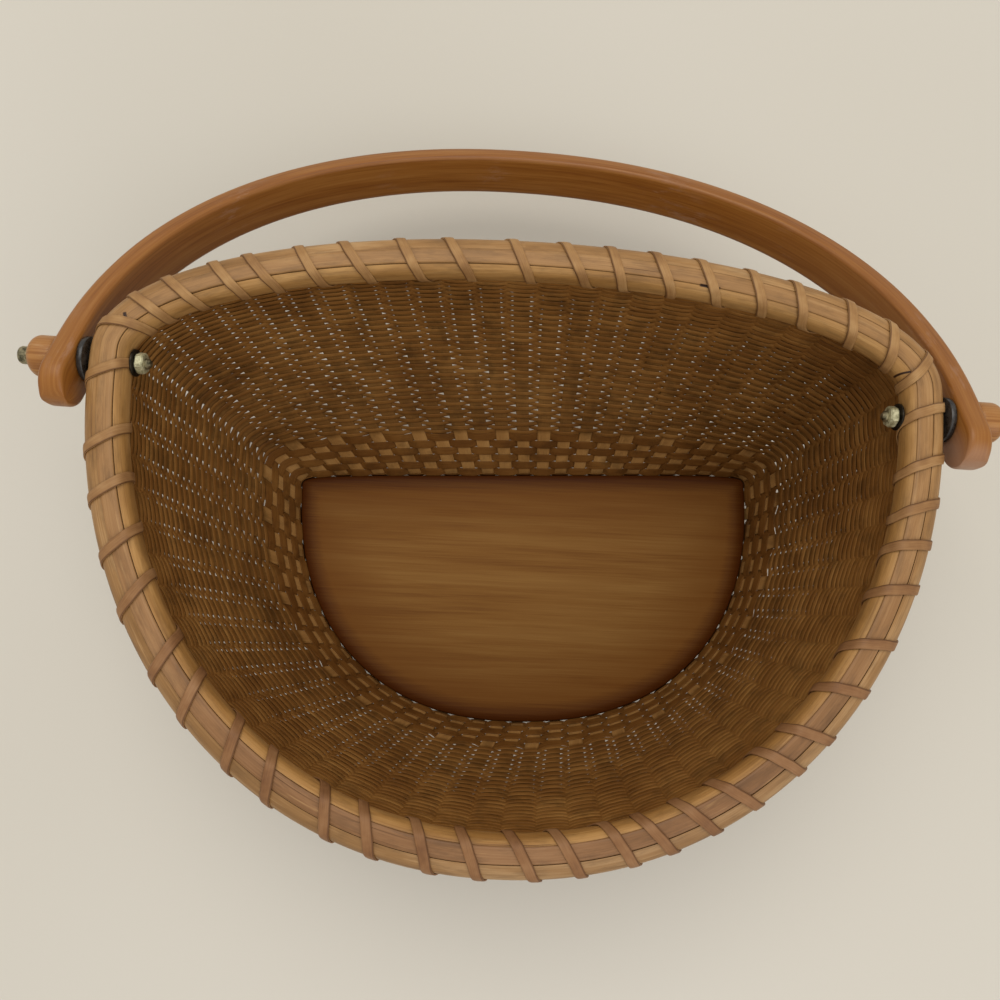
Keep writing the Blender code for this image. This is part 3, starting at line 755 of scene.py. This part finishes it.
def stave_path(number):
    """Middle line of a stave, from its foot in the plate's groove up between the hoops."""
    place = np.array([float(number)])
    foot = wall(place, np.array([foot_height]))[0]
    out = np.append(at(line_normals(FOOT_LINE), place)[0], 0.0)
    tip = -wall_foot_reach - stave_foot_length
    bend = stave_thickness
    points = [foot + out * tip, foot + out * (tip / 2), foot + out * -bend,
              foot + out * (-bend / 3) + Vector((0, 0, bend / 6))]
    start = foot_height + bend
    heights = start + (cap_seat - clearance - foot_height - bend) * np.linspace(0, 1, stave_steps)
    walls = wall(np.full(len(heights), float(number)), heights)
    return np.concatenate([np.array(points), walls]), len(points)


def build_staves(finish):
    """Tapered flat strips that run from the plate's groove to the rim."""
    random = np.random.RandomState(seed)
    for number in range(stave_count):
        centres, feet = stave_path(number)
        sides = [number - 0.5, number + 0.5]
        sideways, top_sideways = (np.append(np.diff(at(line, sides), axis=0)[0], 0.0)
                                  for line in (FOOT_LINE, RIM_LINE))
        rise = np.clip((centres[:, 2:] - foot_height) / (weave_top - foot_height), 0, 1)
        across = unit(unit(sideways) * (1 - rise) + unit(top_sideways) * rise)
        along = unit(np.gradient(centres, axis=0))
        out = unit(np.cross(across, along))
        across = np.cross(along, out)
        wanted = stave_foot_width + (stave_top_width - stave_foot_width) * rise[:, 0]
        wanted[:feet] = np.linspace(stave_tip_width, stave_foot_width, feet)
        wanted *= 1 + stave_width_spread * random.uniform(-1, 1)
        section = rounded_section(strip_steps, stave_corner)
        sized = np.stack([section[None, :, 0] * wanted[:, None] / 2,
                          np.repeat(section[None, :, 1] * shown_stave_thickness / 2, len(wanted), 0)], -1)
        name = f"stave_{number:02d}"
        dress(name, band(name, centres, across, out, sized), finish, "stave_cane", [stave_group(number)])


def weave_wave(stave, stiffness):
    """Where a weaver lies in the wall: 1 outside one stave, -1 inside the next."""
    wave = np.cos(math.pi * stave)
    for _ in range(stiffness):
        wave = wave * (1.5 - 0.5 * wave ** 2)
    return wave


def wander(stave, random, waves=7):
    """Slow unsteadiness along a weaver, between about -1 and 1."""
    total = np.zeros_like(stave)
    for _ in range(waves):
        length = random.uniform(shortest_wander, longest_wander)
        total += np.sin(2 * math.pi * stave / length + random.uniform(0, 2 * math.pi))
    return total / math.sqrt(waves)


def weaver(name, stave, height, width, section, reach, stiffness, finish, node_name):
    """One strip of cane woven in and out of the staves."""
    centre, along, out = wall_frame(stave, height)
    centre = centre + out * (reach * weave_wave(stave, stiffness))[:, None]
    along = unit(np.gradient(centre, axis=0))
    out = unit(out - along * (out * along).sum(-1, keepdims=True))
    up = np.cross(out, along)
    sized = np.stack([section[None, :, 0] * width[:, None],
                      np.repeat(section[None, :, 1], len(stave), 0)], -1)
    dress(name, band(name, centre, up, out, sized), finish, "weave_cane", [node_name])


def build_wide_weave(finish):
    """The lowest rows, of flat cane in plain weave: level rows that step up at one place."""
    random = np.random.RandomState(seed + 1)
    pitch = (wide_weave_top - wide_weave_bottom) / wide_rows
    start = right_pivot_stave
    stave = np.arange(stave_count * wide_rows * wide_steps_per_stave) / wide_steps_per_stave
    row = np.floor(stave / stave_count)
    step_start = row * stave_count + (stave_count - row_step_staves)
    step = np.clip((stave - step_start) / row_step_staves, 0, 1)
    step = np.where(row < wide_rows - 1, step, 0)
    level = row + 0.5 + step * step * (3 - 2 * step)
    height = wide_weave_bottom + pitch * level + wander(stave, random) * clearance / 3
    section = rounded_section(strip_steps, wide_cane_corner) * np.array([0.5, wide_cane_thickness / 2])
    width = wide_cane_width * (1 + wide_width_spread * wander(stave, random))
    weaver("wide_weaver", stave + start, height, width, section, wide_cane_reach, 2, finish, "wide_weave")


def build_fine_weave(finish):
    """Fine cane wound up the wall in one long spiral, packed closer towards the rim."""
    random = np.random.RandomState(seed + 2)
    rise = fine_weave_top - wide_weave_top
    rows = rise / ((fine_first_pitch + fine_last_pitch) / 2)
    count = int(rows * stave_count * fine_steps_per_stave)
    stave = np.arange(count) / fine_steps_per_stave
    share = stave / (rows * stave_count)
    climb = rows * (fine_first_pitch * share + (fine_last_pitch - fine_first_pitch) * share ** 2 / 2)
    pitch = fine_first_pitch + (fine_last_pitch - fine_first_pitch) * share
    first = wide_weave_top - fine_overlap + fine_first_pitch / 2
    unsteady = wander(stave, random) * fine_cane_wander * (pitch / fine_first_pitch)
    height = first + climb + unsteady
    section = rounded_section(fine_cane_steps, fine_cane_corner) * np.array([0.5, fine_cane_thickness / 2])
    width = fine_first_cane_width + (fine_last_cane_width - fine_first_cane_width) * share
    start = right_pivot_stave
    turned_away = (1 - np.cos(2 * math.pi * (stave + start - loosest_stave) / stave_count)) / 2
    packed = turned_away * np.minimum(share * fine_packing_growth, 1)
    width = width * (1 + fine_packing * (packed - fine_loose_share))
    near_top = np.clip((share - fine_top_packing_start) / fine_top_packing_reach, 0, 1)
    width = width * (1 + fine_top_packing * near_top * np.sqrt(turned_away))
    width = np.minimum(width, fine_width_limit * pitch)
    width = width * (1 + fine_width_spread * wander(stave, random))
    weaver("fine_weaver", stave + start, height, width, section, fine_cane_reach, 1, finish, "fine_weave")


def hoop_face(thickness, rise):
    """Distance outward of a hoop's round face: rise goes from -1 at its bottom to 1 at its top."""
    return slot_half + thickness * (1 - np.abs(rise) ** hoop_round_power) ** (1 / hoop_round_power)


def hoop_section(side, thickness):
    """Half-round hoop: flat against the staves, round outside, with a step that holds the cap."""
    shelf = cap_width / 2 + clearance
    top = (1 - ((shelf - slot_half) / thickness) ** hoop_round_power) ** (1 / hoop_round_power)
    turns = np.linspace(-1, 1, hoop_face_steps) * math.pi / 2
    rises = np.sign(turns) * np.abs(np.sin(turns)) ** (2 / hoop_round_power)
    rises = np.append(rises[rises < top], top)
    points = [(slot_half, cap_seat), (slot_half, hoop_bottom)]
    points += [(hoop_face(thickness, rise), hoop_middle + rise * hoop_height / 2) for rise in rises[1:]]
    points.append((shelf, cap_seat))
    return np.array(points) * np.array([side, 1.0])


def sweep_rim(name, section, finish, nodes, wobble):
    """Strip of one section round the whole rim."""
    count = stave_count * rim_steps_per_stave
    stave = np.arange(count) / rim_steps_per_stave
    sway = wobble * np.cos(2 * math.pi * (stave / stave_count - cap_wander_place))
    points = []
    for distance, height in section:
        points.append(np.column_stack([rim_place(stave, distance + sway), np.full(count, height)]))
    mesh = skin(name, np.array(points).transpose(1, 0, 2), closed=True)
    mesh.set_sharp_from_angle(angle=rim_sharp_angle)
    dress(name, mesh, finish, "rim_wood", nodes)


def build_rim(outer, inner, cap):
    sweep_rim("outer_hoop_wood", hoop_section(1, outer_hoop_thickness), outer, ["outer_hoop"], 0.0)
    sweep_rim("inner_hoop_wood", hoop_section(-1, inner_hoop_thickness), inner, ["inner_hoop"], 0.0)
    half_width = cap_width / 2 + clearance * cap_fill_share
    section = rounded_section(cap_steps, cap_corner) * np.array([half_width, cap_thickness / 2])
    section[:, 1] += basket_height - cap_thickness / 2
    sweep_rim("rim_cap_wood", section, cap, ["rim_cap"], cap_wander)


# Where each wrap of the lashing meets the rim's outer edge in the photograph
wrap_pixels = [
    (80, 383), (84, 455), (92, 505), (106, 563), (126, 618), (157, 681), (185, 723), (228, 773),
    (268, 807), (326, 843), (373, 862), (430, 874), (480, 880), (537, 878), (583, 873), (635, 862),
    (675, 848), (718, 828), (760, 803), (800, 768), (830, 738), (870, 694), (895, 645), (918, 590),
    (932, 547), (940, 503), (943, 458), (941, 408), (925, 352), (887, 318), (845, 298), (790, 282),
    (745, 270), (695, 260), (650, 251), (607, 245), (560, 240), (510, 239), (445, 239), (397, 240),
    (340, 244), (297, 250), (245, 261), (212, 268), (165, 283), (130, 297), (100, 330),
]


def place_of_pixel(pixel):
    """Place round the rim, in staves, where a pixel's ray meets the outer hoop."""
    turn = Euler(camera_turn).to_matrix()
    half = picture_pixels / 2
    across, up = pixel[0] - half, half - pixel[1]
    ray = turn @ Vector((across / camera_focal_pixels, up / camera_focal_pixels, -1))
    eye = Vector(camera_place)
    spot = eye + ray * ((hoop_middle - eye.z) / ray.z)
    outer = RIM_LINE + RIM_NORMALS * outer_reach
    nearest = np.linalg.norm(outer - np.array([spot.x, spot.y]), axis=1).argmin()
    return nearest / samples_per_stave


def lashing_side(thickness):
    """Points round one hoop for the strip's middle: (distance, height), from under it to the cap."""
    gap = lashing_clearance + lashing_thickness / 2
    points = [(cap_width / 2, hoop_bottom - gap)]
    for rise in lashing_rises:
        points.append((hoop_face(thickness, rise) + gap, hoop_middle + rise * hoop_height / 2))
    return points + [(cap_width / 2 + gap, basket_height + gap * lashing_corner_share)]


def lashing_loop():
    """Points round the rim's section: under it, up the outer hoop, over the cap and down inside."""
    gap = lashing_clearance + lashing_thickness / 2
    outer = lashing_side(outer_hoop_thickness)
    inner = [(-distance, height) for distance, height in reversed(lashing_side(inner_hoop_thickness))]
    return [(0.0, hoop_bottom - gap * lashing_under_share), *outer, (0.0, basket_height + gap), *inner]


def smooth_loop(points, steps):
    """Closed smooth curve through points, sampled evenly in each side."""
    points = np.array(points)
    before, after, later = np.roll(points, 1, 0), np.roll(points, -1, 0), np.roll(points, -2, 0)
    shares = np.arange(steps) / steps
    curve = []
    for p0, p1, p2, p3 in zip(before, points, after, later):
        for t in shares:
            curve.append(0.5 * (2 * p1 + (p2 - p0) * t + (2 * p0 - 5 * p1 + 4 * p2 - p3) * t ** 2
                                + (3 * p1 - p0 - 3 * p2 + p3) * t ** 3))
    return np.array(curve)


def build_lashing(finish):
    """One strip of cane wound round the rim, through the wall between two staves at each turn."""
    random = np.random.RandomState(seed + 3)
    loop = smooth_loop(lashing_loop(), lashing_steps_per_side)
    slope = unit(np.roll(loop, -1, 0) - np.roll(loop, 1, 0))
    outward = np.stack([slope[:, 1], -slope[:, 0]], 1)
    # Clockwise from above, so each wrap's place lies below the last one's
    places = sorted((place_of_pixel(pixel) for pixel in wrap_pixels), reverse=True)
    places = [places[-1] + stave_count] + places
    crossings = []
    for here, there in zip(places, places[1:]):
        middle = (here - lashing_advance + there) / 2
        crossings.append(math.floor(middle) + 0.5)
    stave, spots, normals = [], [], []
    turn_shares = np.arange(len(loop)) / len(loop)
    for before, here, after in zip(crossings, places[1:], crossings[1:] + [crossings[0] - stave_count]):
        inner = here - lashing_advance * random.uniform(*lashing_advance_shares)
        # Out from under the rim, over its top aslant, and back under it
        keys = [before, (before + 2 * here) / 3, here, inner, (after + 2 * inner) / 3, after]
        stave.append(np.interp(turn_shares, lashing_key_shares, keys))
        spots.append(loop)
        normals.append(outward)
    stave = np.concatenate(stave)
    spots = np.concatenate(spots)
    normals = np.concatenate(normals)
    smoothing_shares = np.array([1, 2, 3, 2, 1]) / 9
    padded = np.concatenate([stave[-2:] + stave_count, stave, stave[:2] - stave_count])
    stave = np.convolve(padded, smoothing_shares, "valid")
    flat = rim_place(stave, spots[:, 0])
    centres = np.column_stack([flat, spots[:, 1]])
    rim_out = at(RIM_NORMALS, stave)
    out = np.column_stack([rim_out * normals[:, :1], normals[:, 1]])
    along = unit(np.roll(centres, -1, 0) - np.roll(centres, 1, 0))
    out = unit(out - along * (out * along).sum(-1, keepdims=True))
    across = np.cross(along, out)
    half_sides = np.array([lashing_width / 2, lashing_thickness / 2])
    section = rounded_section(strip_steps, lashing_corner) * half_sides
    mesh = band("rim_lashing_cane", centres, across, out, section[None], closed=True)
    dress("rim_lashing_cane", mesh, finish, "lashing_cane", ["rim_lashing"])


def lobe_half_width(along):
    """Half the handle's width at a distance along its arm: a round lobe, then a slimmer band."""
    lobe = handle_lobe_width / 2
    centre = lobe - handle_lobe_reach
    if along < centre:
        return math.sqrt(max(lobe ** 2 - (along - centre) ** 2, 0.0))
    share = min(1.0, max(0.0, along / handle_blend_length))
    return lobe + (handle_width / 2 - lobe) * share


def handle_path(half_span):
    """Points and outward directions of the bow's inner face, from one lobe's end to the other."""
    lobe = handle_lobe_width / 2
    arm = []
    for step in range(1, handle_lobe_steps + 1):
        along = lobe - handle_lobe_reach - lobe * math.cos(step / handle_lobe_steps * math.pi / 2)
        arm.append(((half_span, along), (1.0, 0.0), along))
    for share in (0.25, 0.5, 0.75, 1.0):
        along = lobe - handle_lobe_reach + (handle_straight - lobe + handle_lobe_reach) * share
        arm.append(((half_span, along), (1.0, 0.0), along))
    height = handle_rise - handle_straight
    bow = []
    for step in range(1, handle_bow_steps):
        angle = math.pi * step / handle_bow_steps
        across = math.cos(angle)
        x = half_span * math.copysign(abs(across) ** (2 / handle_power), across)
        y = height * math.sin(angle) ** (2 / handle_power)
        slope_x = math.copysign((abs(x) / half_span) ** (handle_power - 1), x) / half_span
        slope_y = (y / height) ** (handle_power - 1) / height
        size = math.hypot(slope_x, slope_y)
        bow.append(((x, handle_straight + y), (slope_x / size, slope_y / size), handle_straight + y))
    other = [((-spot[0], spot[1]), (-out[0], out[1]), along) for spot, out, along in reversed(arm)]
    return arm + bow + other


def on_bolts(points):
    """Turn points about the bolts' line into the basket's frame: X outward, from left to right."""
    x, y, z = points[..., 0], points[..., 1], points[..., 2]
    cos, sin = pivot_axis.x, pivot_axis.y
    turned = np.stack([x * cos - y * sin, x * sin + y * cos, z], -1)
    return turned + np.array(pivot_place)


def build_handle(half_span, finish):
    """Bent wooden bow whose arms end in round lobes below the bolts."""
    rings = []
    for spot, out, along in handle_path(half_span):
        half = lobe_half_width(along)
        edge = min(handle_edge_round, half / 2)
        ring = []
        for corner, (side, face) in enumerate(((1, -1), (1, 1), (-1, 1), (-1, -1))):
            for step in range(handle_corner_steps):
                angle = math.pi - math.pi / 2 * (corner + step / (handle_corner_steps - 1))
                centre = edge if face < 0 else handle_thickness - edge
                reach = centre + edge * math.cos(angle)
                across = side * (half - edge) + edge * math.sin(angle)
                ring.append((spot[0] + out[0] * reach, spot[1] + out[1] * reach, across))
        rings.append(ring)
    rings = np.array(rings)
    cos, sin = math.cos(handle_rest_tilt), math.sin(handle_rest_tilt)
    y = rings[..., 1] * cos - rings[..., 2] * sin
    z = rings[..., 1] * sin + rings[..., 2] * cos
    mesh = skin("handle_bow_wood", on_bolts(np.stack([rings[..., 0], y, z], -1)))
    mesh.set_sharp_from_angle(angle=rim_sharp_angle)
    dress("handle_bow_wood", mesh, finish, "handle_wood", ["handle"], "handle")


def turned(name, profile, side, finish, slot, nodes):
    """Piece turned about the bolts' line: the profile is (radius, distance outward)."""
    profile = np.array(profile)
    angles = 2 * math.pi * np.arange(round_steps) / round_steps
    rings = np.stack([np.broadcast_to(side * profile[:, 1:], (len(profile), round_steps)),
                      profile[:, :1] * np.cos(angles), profile[:, :1] * np.sin(angles)], -1)
    mesh = skin(name, on_bolts(rings))
    mesh.set_sharp_from_angle(angle=sharp_angle)
    dress(name, mesh, finish, slot, nodes)


def disc_profile(radius, start, thickness, round_share=0.25):
    """Washer with rounded edges, from one end of its bore round to the other."""
    edge = thickness * round_share
    bore = bolt_diameter / 2
    return [(bore, start), (radius - edge, start), (radius - edge / 3, start + edge / 3),
            (radius, start + edge), (radius, start + thickness - edge),
            (radius - edge / 3, start + thickness - edge / 3), (radius - edge, start + thickness),
            (bore, start + thickness)]


def knob_profile(start):
    """Round wooden knob: a short neck, a full barrel and a domed end."""
    barrel = knob_diameter / 2
    neck = knob_neck_diameter / 2
    end = start + knob_length
    dome = end - knob_dome_length
    points = [(bolt_diameter / 2, start), (neck, start)]
    for share in (0.2, 0.5, 0.8, 1.0):
        radius = neck + (barrel - neck) * math.sin(share * math.pi / 2)
        points.append((radius, start + knob_neck_length * share))
    for step in range(knob_dome_steps):
        share = step / knob_dome_steps
        radius = barrel * math.sqrt(1 - (share * knob_end_share) ** 2)
        points.append((radius, dome + knob_dome_length * share))
    points.append((bolt_head_diameter / 2, end))
    points.append((bolt_diameter / 2, end))
    return points


def bolt_profile(inner_end, outer_end):
    """Bolt with a chamfered inner end and a round head at its outer end."""
    shank = bolt_diameter / 2
    head = bolt_head_diameter / 2
    edge = bolt_head_length / 4
    end = outer_end + bolt_head_length
    return [(shank - edge, inner_end), (shank, inner_end + edge), (shank, outer_end), (head, outer_end),
            (head, end - edge), (head - edge / 3, end - edge / 3), (head - edge, end), (head / 3, end)]


def build_nut(name, side, start, finish, nodes):
    """Hexagonal nut with chamfered corners on the bolt's inner end."""
    corner = nut_width / 2 / math.cos(math.pi / 6)
    edge = nut_thickness / 6
    rings = []
    for inset, distance in ((edge, start), (0.0, start - edge), (0.0, start - nut_thickness + edge),
                            (edge, start - nut_thickness)):
        ring = []
        for step in range(6):
            for turn in (-nut_corner_share, nut_corner_share):
                angle = math.pi / 3 * (step + turn)
                off_flat = math.pi / 6 - abs(turn) * math.pi / 3
                radius = (corner - inset) * math.cos(math.pi / 6) / math.cos(off_flat)
                ring.append((side * distance, radius * math.cos(angle), radius * math.sin(angle)))
        rings.append(ring)
    mesh = skin(name, on_bolts(np.array(rings)))
    mesh.set_sharp_from_angle(angle=nut_sharp_angle)
    dress(name, mesh, finish, "nut_brass", nodes)


def seats(stave, reach, diameter):
    """Distances along the bolts' line of a face of the rim, at a round piece's middle and edges."""
    share = diameter / 2 * stave_count / np.linalg.norm(np.diff(RIM_LINE, axis=0), axis=1).sum()
    spots = rim_place(stave + np.array([-share, 0.0, share]), np.full(3, reach))
    return np.abs((spots - np.array(pivot_place.xy)) @ np.array(pivot_axis.xy))


def build_pivots(finishes):
    """Hardware at each end of the bolts' line, stacked outward from the rim, and the handle."""
    sides = ((-1, "left", left_pivot_stave), (1, "right", right_pivot_stave))
    spacer_start = max(seats(stave, outer_reach, spacer_diameter).max() for _, _, stave in sides) + clearance
    handle_start = spacer_start + spacer_thickness + clearance
    knob_start = handle_start + handle_thickness + clearance
    head_start = knob_start + knob_length
    for side, word, stave in sides:
        inside = seats(stave, -inner_reach, inner_washer_diameter).min()
        washer_start = inside - clearance - inner_washer_thickness
        nut_end = washer_start - clearance
        bolt_end = nut_end - nut_thickness - bolt_end_length
        turned(word + "_spacer_ring", disc_profile(spacer_diameter / 2, spacer_start, spacer_thickness),
               side, finishes["spacer"], "spacer_black", [word + "_spacer"])
        turned(word + "_knob_wood", knob_profile(knob_start), side, finishes["knob"],
               "handle_wood", [word + "_knob"])
        turned(word + "_washer_ring",
               disc_profile(inner_washer_diameter / 2, washer_start, inner_washer_thickness),
               side, finishes["dark"], "washer_dark", [word + "_inner_washer"])
        turned(word + "_bolt_metal", bolt_profile(bolt_end, head_start), side, finishes["bolt"],
               "bolt_metal", [word + "_bolt"])
        build_nut(word + "_nut_brass", side, nut_end, finishes["brass"], [word + "_nut"])
    build_handle(handle_start, finishes["handle"])


def build_floor():
    mesh = bpy.data.meshes.new("floor")
    corners = [(x * floor_reach, y * floor_reach, 0) for x, y in ((-1, -1), (1, -1), (1, 1), (-1, 1))]
    mesh.from_pydata(corners, [], [(0, 1, 2, 3)])
    floor = bpy.data.objects.new("floor", mesh)
    mesh.materials.append(floor_finish())
    bpy.context.scene.collection.objects.link(floor)


def add_light(name, place, size, power, colour):
    lamp = bpy.data.lights.new(name, "AREA")
    lamp.size = size
    lamp.energy = power
    lamp.color = colour
    thing = bpy.data.objects.new(name, lamp)
    thing.location = place
    thing.rotation_euler = (Vector(lit_place) - Vector(place)).to_track_quat("-Z", "Y").to_euler()
    bpy.context.scene.collection.objects.link(thing)


def light_scene():
    world = bpy.data.worlds.new("studio")
    world.use_nodes = True
    sky = world.node_tree.nodes["Background"]
    sky.inputs["Color"].default_value = sky_colour
    sky.inputs["Strength"].default_value = sky_strength
    bpy.context.scene.world = world
    add_light("key", **key_light)
    add_light("fill", **fill_light)
    bpy.context.scene.view_settings.view_transform = "Standard"


def add_camera():
    camera = bpy.data.cameras.new("camera")
    camera.sensor_width = sensor_width
    camera.lens = sensor_width * camera_focal_pixels / picture_pixels
    thing = bpy.data.objects.new("camera", camera)
    thing.location = camera_place
    thing.rotation_euler = camera_turn
    bpy.context.scene.collection.objects.link(thing)
    bpy.context.scene.camera = thing


def main():
    wood = handle_finish("handle_wood_finish", srgb(122, 70, 20), srgb(144, 90, 34), srgb(160, 108, 50),
                         srgb(166, 130, 106), 0.75)
    knob = handle_finish("knob_wood_finish", srgb(128, 78, 34), srgb(158, 106, 52), srgb(180, 132, 78),
                         srgb(196, 160, 118), 0.0)
    # Painted shade in gaps of the rim: the scarf's seam, a split beside the cap and a notch
    seam = -cap_width / 2 - clearance
    scarf = (scarf_pixel, seam - inner_hoop_thickness / 2, scarf_slant, scarf_length, scarf_line_width)
    split = (split_pixel, seam, math.pi / 2, split_length, split_width)
    notch = (notch_pixel, 0.0, notch_slant, notch_length, notch_width)
    outer = split_cane_finish("outer_hoop_finish", srgb(132, 94, 50), srgb(158, 117, 69),
                              srgb(188, 150, 103), srgb(108, 71, 36), srgb(236, 236, 240))
    inner = split_cane_finish("inner_hoop_finish", srgb(140, 99, 50), srgb(166, 123, 69),
                              srgb(192, 149, 92), srgb(108, 70, 33), srgb(250, 244, 234), (scarf, split))
    cap = split_cane_finish("rim_cap_finish", srgb(130, 94, 52), srgb(155, 114, 68),
                            srgb(178, 138, 90), srgb(102, 68, 37), srgb(222, 214, 222), (split, notch))
    # The stave's last colour is painted shade that darkens the staves above the wide weave
    stave = cane_finish("stave_finish", srgb(122, 86, 44), srgb(156, 114, 63), srgb(180, 140, 86),
                        srgb(192, 182, 164))
    wide = cane_finish("wide_weave_finish", srgb(76, 44, 14), srgb(108, 69, 28), srgb(138, 96, 46))
    # low_shade paints shade on the lower part of the fine weave
    weave = cane_finish("weave_finish", srgb(92, 55, 20), srgb(132, 88, 39), srgb(168, 122, 64),
                        low_shade=0.8)
    # The lashing's fourth colour is painted shade along the strip's edges
    strip = lashing_finish("lashing_finish", srgb(130, 92, 54), srgb(158, 118, 72), srgb(178, 140, 92),
                           srgb(88, 56, 30), srgb(218, 206, 212))
    build_base(base_finish())
    build_staves(stave)
    build_wide_weave(wide)
    build_fine_weave(weave)
    build_rim(outer, inner, cap)
    build_lashing(strip)
    build_pivots({
        "handle": wood,
        "knob": knob,
        "spacer": spacer_finish(),
        "dark": metal_finish("washer_finish", srgb(60, 54, 44), srgb(24, 20, 16), (0.35, 0.6)),
        "bolt": metal_finish("bolt_finish", srgb(160, 150, 118), srgb(70, 66, 48), (0.3, 0.55)),
        "brass": metal_finish("nut_finish", srgb(200, 194, 156), srgb(134, 128, 94), (0.3, 0.5), 0.3),
    })
    build_floor()
    light_scene()
    add_camera()


main()
